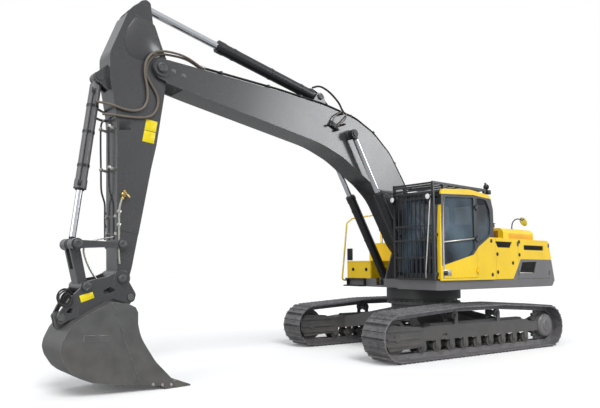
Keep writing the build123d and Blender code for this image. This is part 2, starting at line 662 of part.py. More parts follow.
def cab_glass():
    """Panes in the windscreen, rear, roof, right side and quarter window."""
    t = 8
    panes = [
        slab([(CAB_FRONT - 30, 1562), (CAB_FRONT - 30 + t, 1562), (CAB_FRONT - 30 + t, 2300),
              (CAB_FRONT - 94 + t, 3008), (CAB_FRONT - 94, 3008), (CAB_FRONT - 30, 2300)], "XZ",
             CAB_IN + 70 + RUN_GAP, CAB_OUT - 70 - RUN_GAP),
        slab([(CAB_REAR + 20, 2262), (CAB_REAR + 20 + t, 2262), (CAB_REAR + 20 + t, 2850),
              (CAB_REAR + 30 + t, 2958), (CAB_REAR + 30, 2958), (CAB_REAR + 20, 2850)], "XZ",
             CAB_IN + 90 + RUN_GAP, CAB_OUT - 90 - RUN_GAP),
        slab([(500 + RUN_GAP, CAB_ROOF + 16), (1150 - RUN_GAP, CAB_ROOF - 28),
              (1150 - RUN_GAP, CAB_ROOF - 20), (500 + RUN_GAP, CAB_ROOF + 24)], "XZ",
             CAB_IN + 160 + RUN_GAP, CAB_OUT - 160 - RUN_GAP),
        slab([(-300 + RUN_GAP, 2150.5, 60), (1250 - RUN_GAP, 1801, 60), (1230 - RUN_GAP, 2989.7, 60),
              (-300 + RUN_GAP, 2989.7, 60)], "XZ", CAB_IN + 20, CAB_IN + 20 + t),
        slab(quarter_window(1), "XZ", CAB_OUT - 24, CAB_OUT - 24 + t),
    ]
    return panes


def door_outline(inset):
    g = inset
    return [(DOOR_REAR + g, CAB_LOW + 40 + g), (CAB_FRONT - 70 - g, CAB_LOW + 40 + g),
            (CAB_FRONT - 70 - g, 2300), (CAB_FRONT - 130 - g, 3034 - g, 40), (DOOR_REAR + g, 3092 - g)]


def door_windows(inset):
    """Corners of the door's upper and lower window, either side of its rising bar."""
    g = inset
    rear, front = DOOR_REAR + 82 + g, CAB_FRONT - 120 - g
    upper = [(rear, 2258 + g), (front, 2162 + g), (front - 20, 2400), (front - 56, 3002 - g, 40),
             (rear, 3054 - g, 40)]
    lower = [(rear, 2222 - g), (rear, 2020 + g, 40), (455, 1897 + g, 120), (front, 1722 + g, 30),
             (front, 2126 - g)]
    return upper, lower


def cab_door():
    """Door leaf with an upper and a lower window over the swept yellow lower panel."""
    leaf = slab(door_outline(6), "XZ", CAB_OUT - 46, CAB_OUT)
    for window in door_windows(0):
        leaf -= slab(window, "XZ", CAB_OUT - 50, CAB_OUT + 1)
    for z in HINGE_ZS:
        low, high = z - 30 + SEAT, z + 30 - SEAT
        leaf += rod_z(HINGE_X, HINGE_Y, HINGE_R, low, high)
        leaf += block(HINGE_X, HINGE_X + 60, CAB_OUT, HINGE_Y + HINGE_R, low, high)
    return leaf


def door_glass():
    return [slab(pane, "XZ", CAB_OUT - 30, CAB_OUT - 22) for pane in door_windows(RUN_GAP)]


def operator_seat():
    """Seat on its box, with backrest and armrest consoles."""
    y = (CAB_IN + CAB_OUT) / 2
    floor = CAB_LOW + CAB_WALL
    base = block(180, 640, y - 210, y + 210, floor, floor + 320)
    cushion = slab([(150, floor + 320, 30), (720, floor + 320, 30), (720, floor + 440, 60),
                    (150, floor + 440, 30)], "XZ", y - 250, y + 250)
    back = slab([(90, floor + 400, 30), (230, floor + 400, 30), (110, floor + 1060, 50),
                 (-40, floor + 1060, 50)], "XZ", y - 240, y + 240)
    return base + cushion + back


def cab_consoles():
    """Side consoles with a control lever each, and the two travel pedals."""
    y = (CAB_IN + CAB_OUT) / 2
    floor = CAB_LOW + CAB_WALL
    solids = []
    for side in (1, -1):
        box = slab([(250, floor, 0), (640, floor, 0), (760, floor + 600, 60), (700, floor + 680, 40),
                    (250, floor + 640, 40)], "XZ", y + side * 330 - 60, y + side * 330 + 60)
        lever = rod_between((690, y + side * 330, floor + 640), (720, y + side * 330, floor + 860), 18)
        grip = rod_between((716, y + side * 330, floor + 830), (728, y + side * 330, floor + 960), 32)
        solids.append(box + lever + grip)
    for side in (1, -1):
        solids.append(rod_between((1080, y + side * 90, floor + 6), (1040, y + side * 90, floor + 520), 14)
                      + block(1020, 1160, y + side * 90 - 40, y + side * 90 + 40, floor, floor + 30))
    return solids


def front_guard():
    """Grille of upright bars in front of the windscreen, on four brackets."""
    y0, y1, tube = CAB_IN + 40, CAB_OUT - 40, 22
    grille = None
    for y in (y0, y1):
        post = block(GUARD_X - tube, GUARD_X + tube, y - tube, y + tube, GUARD_LOW, GUARD_TOP)
        grille = post if grille is None else grille + post
    for z in (GUARD_LOW + 16, 1853, 2175, 2445, 2965, 3060, 3130, 3200):
        grille += block(GUARD_X - tube + 4, GUARD_X + tube - 4, y0, y1, z - 15, z + 15)
    for n in range(1, GUARD_BARS + 1):
        y = y0 + (y1 - y0) * n / (GUARD_BARS + 1)
        grille += block(GUARD_X - 10, GUARD_X + 10, y - 9, y + 9, GUARD_LOW, 3070)
    for z in (1520, 2250):
        for y in (y0 + 20, y1 - 20):
            grille += block(CAB_FRONT + RUN_GAP, GUARD_X, y - 15, y + 15, z, z + 60)
    return grille


def roof_guard():
    """Flat frame of bars over the roof, joined to the front grille."""
    y0, y1 = CAB_IN + 18, CAB_OUT - 18
    low, high = GUARD_TOP - 45, GUARD_TOP
    rails = None
    for y in (y0, y1 - 44):
        rail = block(-200, GUARD_X + 22, y, y + 44, low, high)
        rails = rail if rails is None else rails + rail
        for x in (-190, 1200):
            rails += block(x, x + 50, y, y + 44, CAB_ROOF - 60, low + 1)
    for x in (-200, 40, 290, 540, 790, 1040, 1290, GUARD_X - 18):
        rails += block(x, x + 36, y0, y1, low + 4, high - 10)
    return rails - slab(cab_outline(RUN_GAP), "XZ", CAB_IN - RUN_GAP, CAB_OUT + RUN_GAP)


def pipe(points, radius, tube):
    """A bent tube through points, with its bends as arcs."""
    path = FilletPolyline(*points, radius=radius)
    start = path @ 0
    return sweep(Plane(origin=start, z_dir=path % 0) * Circle(tube), path=path)


def handrails():
    """Pale rail that rises beside the right front steps and runs back over the tank."""
    y, foot = 72 - HOUSE_HALF, TOOLBOX_FRONT + 5
    return [pipe([(foot + RUN_GAP, y, 1380), (1112, y, 1380), (952, y, 2670), (770, y, 2790),
                  (-200, y, 2950), (-200, y, FUEL_TANK_TOP + RUN_GAP)], 62, 19)]


def air_intake():
    """Pre-cleaner stack behind the cab."""
    y = HOUSE_HALF - 420
    return rod_z(-1060, y, 52, PANEL_TOP, 2540) + rod_z(-1060, y, 78, 2540, 2640)


def house():
    return {
        "upper_frame": [upper_frame()],
        "upper_race": [upper_race()],
        "counterweight": [counterweight()],
        "engine": [engine_block(), cooler()],
        "side_panels": [left_panel(), right_panel()],
        "left_front_door": [left_front_door()],
        "left_rear_door": [left_rear_door()],
        "right_door": [right_door()],
        "deck_top": [deck_top()],
        "engine_hood": [engine_hood()],
        "fuel_tank": [fuel_tank()],
        "hydraulic_tank": [hydraulic_tank()],
        "toolbox": [toolbox()],
        "toolbox_lid": [toolbox_lid()],
        "front_steps": [front_steps()],
        "cab_shell": [cab_shell()],
        "cab_glass": cab_glass(),
        "cab_door": [cab_door()],
        "door_glass": door_glass(),
        "cab_interior": [operator_seat()] + cab_consoles(),
        "cab_guards": [front_guard() + roof_guard()],
        "handrails": handrails(),
        "air_intake": [air_intake()],
    }


# Boom, arm and bucket

def boom():
    """Welded box boom with its bend, tip fork, cylinder bosses and arm cylinder lugs."""
    outline = [
        (-40, -150, 60), (120, -160, 200), (430, -50, 600), (1350, 535, 1200), (1800, 640, 800),
        (2680, 716, 1500), (3250, 672, 2500), (5790, -10, 3000), (6290, -135, 300), (6480, -165, 80),
        (6650, -60, 110), (6600, 100, 90), (6440, 185, 200), (4469, 1000, 6000), (3468, 1372, 1500),
        (2694, 1582, 1500), (2132, 1592, 1200), (1560, 1460, 900), (876, 1090, 1500),
        (330, 560, 900), (20, 160, 80), (-100, 60, 60),
    ]
    body = slab(outline, "XZ", -BOOM_HALF, BOOM_HALF)
    body += rod_y(0, 0, 165, -BOOM_HALF - 5, BOOM_HALF + 5)
    body -= rod_y(0, 0, FOOT_PIN + SHAFT_FIT, -300, 300)
    body -= block(FORK_SLOT, 6800, -FORK_INNER, FORK_INNER, -400, 600)
    body += rods_y(BOOM_LENGTH, 0, 130, FORK_INNER, BOOM_HALF + 22)
    body += rod_y(BOOM_LENGTH, 0, TIP_PIN, -BOOM_HALF - 40, BOOM_HALF + 40)
    pin_u, pin_v = BOOM_CYL_PIN
    body += rods_y(pin_u, pin_v, 95, BOOM_HALF - 5, BOOM_CYL_Y - BOOM_CYL["half"] - 5 - PIN_GAP)
    lug_u, lug_v = ARM_CYL_BASE
    lug = [(lug_u - 320, 1340), (lug_u + 150, 1270), (lug_u + 75, lug_v + 30, 60),
           (lug_u + 20, lug_v + 100, 80), (lug_u - 80, lug_v + 60, 70)]
    body += both(lug, "XZ", 78, 118)
    body += rod_y(lug_u, lug_v, CYL_PIN, -135, 135)
    return BOOM_FRAME * body


def arm():
    """Tapered box arm with the lever for its cylinder and lugs for the bucket cylinder."""
    outline = [
        (-147, -97, 80), (385, -144, 900), (1156, -164), (1523, -148), (ARM_LENGTH - 826, -141),
        (ARM_LENGTH - 177, -134, 300), (ARM_LENGTH, -118), (ARM_LENGTH, 54), (ARM_LENGTH - 41, 62),
        (1123, 456), (872, 524, 900), (398, 703, 300),
        (75, 767, 100), (15, 765, 40), (-673, 630, 60), (-627, 210, 60), (-301, 10, 100),
    ]
    body = slab(outline, "XZ", -ARM_HALF, ARM_HALF)
    body += rod_y(ARM_LENGTH, 0, 120, -ARM_END_HALF, ARM_END_HALF)
    body += rod_y(0, 0, 128, -ARM_HALF, ARM_HALF)
    lever_s, lever_t = LEVER_PIN
    lever = [(-301, 12), (-566, 172, 60), (lever_s + 30, lever_t - 85, 70), (lever_s - 60, lever_t - 60, 60),
             (lever_s - 80, lever_t + 30, 60), (-818, 544, 60), (-673, 628, 60), (-223, 708)]
    body += both(lever, "XZ", ARM_CYL["half"] + 8, 122)
    narrow, beyond = ARM_LENGTH - 657, ARM_LENGTH + 443
    body -= both([(narrow, -400), (beyond, -400), (beyond, 400), (narrow, 400)], "XZ", ARM_END_HALF,
                 ARM_HALF + 5)
    body -= rod_y(0, 0, TIP_PIN + SHAFT_FIT, -300, 300)
    body -= rod_y(ARM_LENGTH, 0, ARM_PIN + SHAFT_FIT, -300, 300)
    body -= rod_y(GUIDE_PIN[0], GUIDE_PIN[1], GUIDE_R + SHAFT_FIT, -300, 300)
    base_s, base_t = BUCKET_CYL_BASE
    lug = [(base_s - 260, 700), (base_s + 150, 620), (base_s + 78, base_t + 20, 60),
           (base_s, base_t + 88, 70), (base_s - 90, base_t + 20, 60)]
    body += both(lug, "XZ", BUCKET_CYL["half"] + 8, BUCKET_CYL["half"] + 46)
    body += rod_y(base_s, base_t, CYL_PIN, -BUCKET_CYL["half"] - 60, BUCKET_CYL["half"] + 60)
    body -= slab([(-1200, 120), (-690, 120), (-690, 900), (-1200, 900)], "XZ",
                 -ARM_CYL["half"] - 8, ARM_CYL["half"] + 8)
    return ARM_FRAME * body


def guide_links():
    """The two thin links from the arm to the rocker pin, joined by the pin through the arm."""
    g, e = Vector(*GUIDE_PIN), Vector(*ROCKER_PIN)
    along = (e - g).normalized()
    across = Vector(-along.Y, along.X)
    slim, wide = 30, 54
    corners = [g + across * slim, g - across * slim, e - across * wide, e + across * wide]
    outline = [(p.X, p.Y) for p in corners]
    body = both(outline, "XZ", COUPLER_IN, COUPLER_IN + 36)
    body += rods_y(g.X, g.Y, 76, ARM_END_HALF + PIN_GAP, COUPLER_IN + 40)
    body += rods_y(e.X, e.Y, 80, ARM_END_HALF + PIN_GAP, COUPLER_IN + 40)
    body += rod_y(g.X, g.Y, GUIDE_R, -COUPLER_IN - 56, COUPLER_IN + 56)
    body += rods_y(e.X, e.Y, 50, COUPLER_IN, COUPLER_IN + 62)
    return ARM_FRAME * body


def push_link():
    """Link from the rocker pin to the coupler, forked round the rod's eye."""
    e, k = Vector(*ROCKER_PIN), Vector(*LINK_PIN)
    along = (k - e).normalized()
    across = Vector(-along.Y, along.X)
    half, narrow = ARM_END_HALF, LINK_HALF
    corners = [e + across * 66 - along * 20, e - across * 66 - along * 20,
               k - across * 60 + along * 20, k + across * 60 + along * 20]
    body = slab([(p.X, p.Y, 40) for p in corners], "XZ", -narrow, narrow)
    body += rod_y(e.X, e.Y, 78, -half, half) + rod_y(k.X, k.Y, 74, -LINK_EYE_HALF, LINK_EYE_HALF)
    slot = [e + across * 130 - along * 120, e - across * 130 - along * 120,
            e - across * 130 + along * 330, e + across * 130 + along * 330]
    body -= slab([(p.X, p.Y) for p in slot], "XZ", -BUCKET_CYL["half"] - 4, BUCKET_CYL["half"] + 4)
    return ARM_FRAME * body


BUCKET_BACK = [
    (-700, -1486), (-202, -1416), (194, -1364, 600), (410, -1326, 260), (585, -1250, 260),
    (690, -1168, 260), (795, -1010, 220), (830, -901, 160), (812, -800, 200), (744, -652, 200),
    (653, -543, 200), (558, -476, 150), (218, -300, 60),
]


def inset(corners, wall):
    """Move an open run of corners inward. Its first and last corner only give the direction."""
    moved = []
    for before, here, after in zip(corners, corners[1:], corners[2:]):
        corner = Vector(*here[:2])
        first, second = corner - Vector(*before[:2]), Vector(*after[:2]) - corner
        normals = [Vector(-side.Y, side.X).normalized() for side in (first, second)]
        middle = (normals[0] + normals[1]).normalized()
        corner += middle * (wall / middle.dot(normals[0]))
        radius = here[2] if len(here) == 3 else 0
        moved.append((corner.X, corner.Y, max(radius - wall, 0)))
    return moved


def bucket_profile(wall):
    """Side outline of the bucket, or of its inside when a wall is taken off."""
    back = inset(BUCKET_BACK, wall)
    if wall:
        return [(-1000, -1486 + wall), *back, (218, -300 - wall), (0, -368), (-1000, -368)]
    mouth = [(-10, -330, 70), (-105, -380, 40), (-140, -450, 60), (-144, -603, 300), (-190, -790, 600),
             (-397, -1116, 600), (-685, -1418)]
    return [BUCKET_BACK[0], *back, BUCKET_BACK[-1], *mouth]


def bucket_plan(inset):
    """Plan of the bucket, which narrows towards its back."""
    points = []
    for x, side in ((-1100, 1), (1100, 1), (1100, -1), (-1100, -1)):
        points.append((x, side * (BUCKET_HALF - BUCKET_TAPER * (x + 785) - inset)))
    return points


def lip():
    """Thick cutting edge under the mouth."""
    edge = slab([(-745, -1497), (-515, -1485), (-515, -1443), (-705, -1443)], "XZ",
                -BUCKET_HALF - 10, BUCKET_HALF + 10)
    return edge & slab(bucket_plan(0), "XY", -1600, 0)


def bucket_shell():
    """Bucket with curved wrapper, side plates, lip, ears and its two pins."""
    plan = slab(bucket_plan(0), "XY", -1600, 0)
    wide = BUCKET_HALF + 100
    body = slab(bucket_profile(0), "XZ", -wide, wide) & plan
    inner = slab(bucket_profile(BUCKET_WALL), "XZ", -wide, wide)
    body -= inner & slab(bucket_plan(BUCKET_SIDE), "XY", -1600, 0)
    body += lip()
    # Raised plate along the mouth, embossed bar and wear band at the heel, 8 mm proud
    proud = slab(bucket_plan(-8), "XY", -1600, 0) - slab(bucket_plan(10), "XY", -1601, 1)
    edge_plate = [(-105, -380), (-140, -450), (-144, -603, 300), (-190, -790, 600), (-397, -1116, 600),
                  (-670, -1402), (-680, -1480), (-208, -1413), (-142, -1249), (211, -334), (210, -304),
                  (-10, -332)]
    bar = [(542, -711, 12), (208, -732, 12), (250, -808, 12), (557, -787, 12)]
    heel = [(-192, -1410), (194, -1360, 600), (405, -1322), (580, -1245, 60), (600, -1190, 60),
            (454, -1160, 200), (71, -1211), (-128, -1249)]
    for outline in (edge_plate, bar, heel):
        body += slab(outline, "XZ", -wide, wide) & proud
    fx, fz = FRONT_BUCKET_PIN
    rx, rz = REAR_BUCKET_PIN
    front_ear = [(fx - 74, fz + 5, 60), (fx - 40, fz + 74, 50), (fx + 52, fz + 62, 50), (200, -290),
                 (200, -320), (-20, -350), (-100, -400), (fx - 40, fz - 80, 40)]
    body += both(front_ear, "XZ", 150, 188)
    rear_ear = [(rx - 70, rz + 20, 60), (rx - 10, rz + 80, 60), (rx + 75, rz + 20, 60),
                (rx + 40, -620), (744, -665), (653, -556), (560, -480)]
    body += both(rear_ear, "XZ", 30, 58)
    body += rod_y(fx, fz, BUCKET_PIN, -COUPLER_OUT - 22, COUPLER_OUT + 22)
    body += rod_y(rx, rz, BUCKET_PIN, -160, 160)
    return Pos(BUCKET_PIVOT[0], 0, BUCKET_PIVOT[1]) * body


def bucket_teeth():
    """Forged teeth on the lip."""
    teeth = []
    span = 2 * BUCKET_HALF - 130
    shell = slab(bucket_profile(0), "XZ", -BUCKET_HALF - 50, BUCKET_HALF + 50)
    place = Pos(BUCKET_PIVOT[0], 0, BUCKET_PIVOT[1])
    for n in range(TEETH):
        y = -span / 2 + span * n / (TEETH - 1)
        tooth = slab([(-935, -1504), (-540, -1504), (-540, -1412), (-735, -1404), (-935, -1482)], "XZ",
                     y - 50, y + 50)
        teeth.append(place * (tooth - shell - lip()))
    return teeth


def coupler():
    """Quick coupler: two plates with holes, cross members and the pins to arm and link."""
    px, pz = BUCKET_PIVOT
    kx, kz = LINK_END[0] - px, LINK_END[1] - pz
    fx, fz = FRONT_BUCKET_PIN
    rx, rz = REAR_BUCKET_PIN
    inner, outer, hook_in, hook_out = COUPLER_IN, COUPLER_OUT, 75, 115
    outline = [
        (-93, -20), (0, 118, 100), (201, 30), (357, 1, 60), (478, -28, 40), (676, -247, 200),
        (795, -459, 60), (778, -592, 20), (663, -527, 30), (110, -266), (15, -206), (-65, -146),
    ]
    claw = [(-93, -20), (fx - 84, fz + 40, 60), (fx - 60, fz - 72, 60), (fx + 60, fz - 72, 60),
            (110, -266), (60, -60)]
    profile = slab(outline, "XZ", -300, 300) + slab(claw, "XZ", -300, 300)
    profile += rod_y(0, 0, 120, -300, 300)
    profile -= slab([(257, -161, 15), (164, -102, 15), (66, -158, 15), (223, -216, 15)], "XZ", -300, 300)
    profile -= slab([(711, -436, 8), (671, -372, 10), (626, -382, 10), (638, -440, 10)], "XZ", -300, 300)
    strips = None
    for side in (1, -1):
        plan = [(-300, inner), (562, inner), (825, hook_in), (825, hook_out), (572, outer), (-300, outer)]
        strip = slab([(x, side * y) for x, y in plan], "XY", -700, 300)
        strips = strip if strips is None else strips + strip
    plates = (profile & strips) - slab(bucket_profile(0), "XZ", -300, 300)
    for x, z in (FRONT_BUCKET_PIN, REAR_BUCKET_PIN):
        plates -= rod_y(x, z, BUCKET_PIN + RUN_GAP, -300, 300)
    plates += rods_y(0, 0, 110, ARM_END_HALF + 2, outer + 6)
    plates += rods_y(kx, kz, 72, LINK_EYE_HALF + PIN_GAP, outer + 6)
    plates += rod_y(0, 0, ARM_PIN, -outer - 30, outer + 30)
    plates += rods_y(kx, kz, 45, outer, outer + 26)
    cross = slab([(150, -205), (270, -265), (298, -226), (178, -168)], "XZ", -inner - 1, inner + 1)
    cross += slab([(560, -345), (640, -385), (662, -350), (582, -308)], "XZ", -190, 190) & slab(
        [(400, -inner - 1), (562, -inner - 1), (825, -hook_in - 1), (825, hook_in + 1),
         (562, inner + 1), (400, inner + 1)], "XY", -700, 300)
    cross -= slab(bucket_profile(0), "XZ", -300, 300)
    return Pos(px, 0, pz) * (plates + cross)


def cylinder_parts(base, eye, size, y):
    """Tube and rod of a cylinder from its base pin to the rod's eye, both in X and Z."""
    length = math.dist(base, eye)
    degrees = math.degrees(math.atan2(eye[1] - base[1], eye[0] - base[0]))
    frame = Pos(base[0], y, base[1]) * Rot(0, -degrees, 0)
    lay = Rot(0, 90, 0)
    gland, bore = size["gland"], size["bore"]
    eye_half, neck = size["half"], size["neck"]
    tube = Pos((gland + neck) / 2, 0, 0) * lay * Cylinder(size["tube"], gland - neck)
    tube += Pos(neck / 2, 0, 0) * lay * Cylinder(eye_half * 0.9, neck + 2)
    tube += Pos(gland - 60, 0, 0) * lay * Cylinder(size["tube"] + 8, 120)
    tube -= Pos((neck + 40 + gland - 90) / 2, 0, 0) * lay * Cylinder(bore, gland - neck - 130)
    tube -= Pos(gland - 50, 0, 0) * lay * Cylinder(size["rod"] + SHAFT_FIT, 140)
    tube += rod_y(0, 0, size["eye"], -eye_half, eye_half)
    tube -= rod_y(0, 0, CYL_PIN + SHAFT_FIT, -200, 200)
    start = length - size["rod_length"]
    rod = Pos((start + length) / 2, 0, 0) * lay * Cylinder(size["rod"], size["rod_length"])
    rod += Pos(start + 45, 0, 0) * lay * Cylinder(bore - SHAFT_FIT, 90)
    rod += rod_y(length, 0, size["eye"], -eye_half, eye_half)
    return frame * tube, frame * rod, length, degrees


def cylinders():
    nodes = {"boom_cylinder_tubes": [], "boom_cylinder_rods": []}
    pin = boom_point(BOOM_CYL_PIN)
    for side in (1, -1):
        tube, rod, length, degrees = cylinder_parts(BOOM_CYL_BASE, pin, BOOM_CYL, side * BOOM_CYL_Y)
        stub = rod_y(pin[0], pin[1], CYL_PIN, BOOM_CYL_Y - 55, BOOM_CYL_Y + 68)
        if side < 0:
            stub = mirror(stub, Plane.XZ)
        nodes["boom_cylinder_tubes"].append(tube)
        nodes["boom_cylinder_rods"].append(rod + stub)
    print("boom cylinder", round(length, 1), "mm at", round(degrees, 3), "degrees")
    tube, rod, length, degrees = cylinder_parts(boom_point(ARM_CYL_BASE), arm_point(LEVER_PIN), ARM_CYL, 0)
    lever_x, lever_z = arm_point(LEVER_PIN)
    rod += rod_y(lever_x, lever_z, CYL_PIN, -ARM_CYL["half"] - 7.5, ARM_CYL["half"] + 7.5)
    nodes["arm_cylinder_tube"], nodes["arm_cylinder_rod"] = [tube], [rod]
    print("arm cylinder", round(length, 1), "mm at", round(degrees, 3), "degrees")
    base, eye = arm_point(BUCKET_CYL_BASE), arm_point(ROCKER_PIN)
    tube, rod, length, degrees = cylinder_parts(base, eye, BUCKET_CYL, 0)
    rod += rod_y(eye[0], eye[1], CYL_PIN, -BUCKET_CYL["half"] - 3.5, BUCKET_CYL["half"] + 3.5)
    nodes["bucket_cylinder_tube"], nodes["bucket_cylinder_rod"] = [tube], [rod]
    print("bucket cylinder", round(length, 1), "mm at", round(degrees, 3), "degrees")
    return nodes


def attachment():
    nodes = {
        "boom": [boom()],
        "arm": [arm()],
        "guide_links": [guide_links()],
        "push_link": [push_link()],
        "coupler": [coupler()],
        "bucket_shell": [bucket_shell()],
        "bucket_teeth": bucket_teeth(),
    }
    nodes.update(cylinders())
    return nodes


def main():
    os.makedirs("parts", exist_ok=True)
    nodes = {**undercarriage(), **house(), **attachment()}
    for name, solids in nodes.items():
        pieces = [piece for shape in solids for piece in shape.solids()]
        export_step(Compound(children=pieces), f"parts/{name}.step")
    print(len(nodes), "nodes")


main()
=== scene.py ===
# %% [markdown]
# This lesson dresses a crawler excavator that was drawn in CAD. The steel shapes are
# already there and stay as they are. Blender adds paint, rubber, glass and dirt, and the small
# things that a CAD model leaves out: hoses, pipes, bolts, lamps and mirrors. It starts by loading
# the CAD model, and notes how large it is, because nothing that is added may make it larger.

import math

import bmesh
import bpy
from mathutils import Matrix, Vector


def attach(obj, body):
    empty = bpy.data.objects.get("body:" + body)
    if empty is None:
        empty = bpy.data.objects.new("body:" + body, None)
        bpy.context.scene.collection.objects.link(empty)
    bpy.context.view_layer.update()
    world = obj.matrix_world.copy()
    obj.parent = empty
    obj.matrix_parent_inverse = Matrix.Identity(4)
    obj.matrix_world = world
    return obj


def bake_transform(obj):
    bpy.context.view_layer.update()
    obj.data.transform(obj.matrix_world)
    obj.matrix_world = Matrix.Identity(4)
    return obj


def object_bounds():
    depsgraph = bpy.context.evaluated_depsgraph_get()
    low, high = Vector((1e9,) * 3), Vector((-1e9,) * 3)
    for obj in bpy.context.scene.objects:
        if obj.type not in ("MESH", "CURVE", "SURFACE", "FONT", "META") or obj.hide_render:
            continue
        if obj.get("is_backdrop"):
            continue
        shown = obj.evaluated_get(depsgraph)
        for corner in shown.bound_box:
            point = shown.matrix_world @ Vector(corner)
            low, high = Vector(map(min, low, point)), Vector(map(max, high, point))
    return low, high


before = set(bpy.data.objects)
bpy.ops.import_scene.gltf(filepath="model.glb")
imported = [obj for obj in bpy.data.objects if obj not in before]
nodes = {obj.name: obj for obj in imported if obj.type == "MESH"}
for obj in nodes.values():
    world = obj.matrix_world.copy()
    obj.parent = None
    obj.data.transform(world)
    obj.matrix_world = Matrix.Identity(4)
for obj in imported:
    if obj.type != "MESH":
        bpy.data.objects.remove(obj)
cad_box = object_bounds()
print("nodes:", len(nodes), "CAD box:", [[round(v, 3) for v in corner] for corner in cad_box])

# %% [markdown]
# The photographer stood ahead of the cab and to its side, with the camera low, so that the
# machine stands tall. A camera is placed by three directions: what is right, what is up
# and where it looks. They form the columns of its matrix, with the look direction negative,
# because a Blender camera looks along its own minus Z.

# %% Camera
CAMERA_PLACE = Vector((10.15215, 7.87746, 1.68699))
CAMERA_RIGHT = Vector((-0.765004, 0.644015, 0.003717))
CAMERA_UP = Vector((0.072759, 0.080691, 0.994080))
CAMERA_LOOK = Vector((-0.639902, -0.760746, 0.108586))
camera_data = bpy.data.cameras.new("camera")
camera_data.sensor_width = 36
camera_data.lens = 34.122
camera = bpy.data.objects.new("camera", camera_data)
axes = Matrix((CAMERA_RIGHT, CAMERA_UP, -CAMERA_LOOK)).transposed()
camera.matrix_world = Matrix.Translation(CAMERA_PLACE) @ axes.to_4x4()
bpy.context.scene.collection.objects.link(camera)
bpy.context.scene.camera = camera
bpy.context.scene.view_settings.view_transform = "Standard"
print("camera at", [round(v, 2) for v in camera.location])

# %% [markdown]
# Materials are networks of nodes. Typing each link by hand is long, so short helpers do it. The
# first adds a node and fills its sockets, with a number or with another node's output. The next
# ones name the steps that all materials share, and each gives back the socket with its result.
# Colours are written as they look on a screen, 0 to 255, and turned into linear values.

# %% Helpers for materials
def put(tree, kind, sockets=None, **fields):
    """Add a node, set its fields, and feed its input sockets."""
    node = tree.nodes.new(kind)
    for field, value in fields.items():
        setattr(node, field, value)
    for socket, value in (sockets or {}).items():
        if isinstance(value, bpy.types.NodeSocket):
            tree.links.new(value, node.inputs[socket])
        else:
            node.inputs[socket].default_value = value
    return node


def tone(red, green, blue):
    """A screen colour as linear RGBA."""
    def linear(value):
        share = value / 255
        return share / 12.92 if share <= 0.04045 else ((share + 0.055) / 1.055) ** 2.4
    return (linear(red), linear(green), linear(blue), 1)


def calc(tree, operation, *values, **fields):
    """One step of arithmetic."""
    return put(tree, "ShaderNodeMath", dict(enumerate(values)), operation=operation,
               **fields).outputs[0]


def along(tree, place, direction):
    """How far a vector reaches along a direction."""
    return put(tree, "ShaderNodeVectorMath", {0: place, 1: direction},
               operation="DOT_PRODUCT").outputs["Value"]


def noise(tree, place, scale, detail, roughness=0.5):
    """Soft noise with a mean of a half."""
    return put(tree, "ShaderNodeTexNoise", {"Vector": place, "Scale": scale, "Detail": detail,
                                            "Roughness": roughness}).outputs["Fac"]


def ranged(tree, value, low, high, to_low=0.0, to_high=1.0):
    """A value carried from one range to another, and held at its ends."""
    return put(tree, "ShaderNodeMapRange", {"Value": value, "From Min": low, "From Max": high,
                                            "To Min": to_low, "To Max": to_high}).outputs[0]


def mixed(tree, share, first, second):
    """Two colours, mixed by a share."""
    return put(tree, "ShaderNodeMix", {0: share, 6: first, 7: second},
               data_type="RGBA").outputs[2]


def flat(tree, colour):
    """A plain colour as a socket."""
    node = put(tree, "ShaderNodeRGB")
    node.outputs[0].default_value = colour
    return node.outputs[0]


def scaled(tree, colour, shade):
    """A colour made lighter or darker."""
    return put(tree, "ShaderNodeVectorMath", {0: colour, 3: shade}, operation="SCALE").outputs[0]


def bumped(tree, height, strength, distance):
    """The surface direction that a height gives."""
    return put(tree, "ShaderNodeBump", {"Height": height, "Strength": strength,
                                        "Distance": distance}).outputs[0]


def stretched(tree, place, scale):
    """A place with other scales along its axes."""
    return put(tree, "ShaderNodeMapping", {"Vector": place, "Scale": scale}).outputs[0]


def new_material(name):
    """Start a material. Returns its empty tree."""
    material = bpy.data.materials.new(name)
    material.use_nodes = True
    material.node_tree.nodes.clear()
    return material.node_tree


def object_place(tree):
    """Where a point lies on its object."""
    return put(tree, "ShaderNodeTexCoord").outputs["Object"]


def surface(tree, sockets):
    """End a material with a Principled shader."""
    shader = put(tree, "ShaderNodeBsdfPrincipled", sockets)
    put(tree, "ShaderNodeOutputMaterial", {"Surface": shader.outputs[0]})


def glow(tree, colour, strength):
    """Light from all round."""
    return put(tree, "ShaderNodeBackground", {"Color": colour, "Strength": strength}).outputs[0]


def choose(tree, share, first, second):
    """Two shaders, mixed by a share."""
    return put(tree, "ShaderNodeMixShader", {0: share, 1: first, 2: second}).outputs[0]


def open_group(name, inputs, outputs):
    """A node group of numbers. Returns the group, its inputs and its outputs."""
    group = bpy.data.node_groups.new(name, "ShaderNodeTree")
    for label, value in inputs.items():
        socket = group.interface.new_socket(label, in_out="INPUT", socket_type="NodeSocketFloat")
        socket.default_value = value
    for label in outputs:
        group.interface.new_socket(label, in_out="OUTPUT", socket_type="NodeSocketFloat")
    return group, put(group, "NodeGroupInput").outputs, put(group, "NodeGroupOutput").inputs


def use(tree, group, sockets):
    """Place a node group in a material."""
    return put(tree, "ShaderNodeGroup", sockets, node_tree=group).outputs

# %% [markdown]
# A machine like this stands on white paper, as it were: the picture has no horizon. The world
# is a soft grey-white light for the object, and pure white where the camera looks straight at it,
# also through glass. Glossy surfaces mirror a room with one bright panel instead, which puts a
# highlight on chrome and on the paint. The floor takes the machine's shadow as real paper
# would, and it is whiter, with some extra glow, only where the camera looks at it.

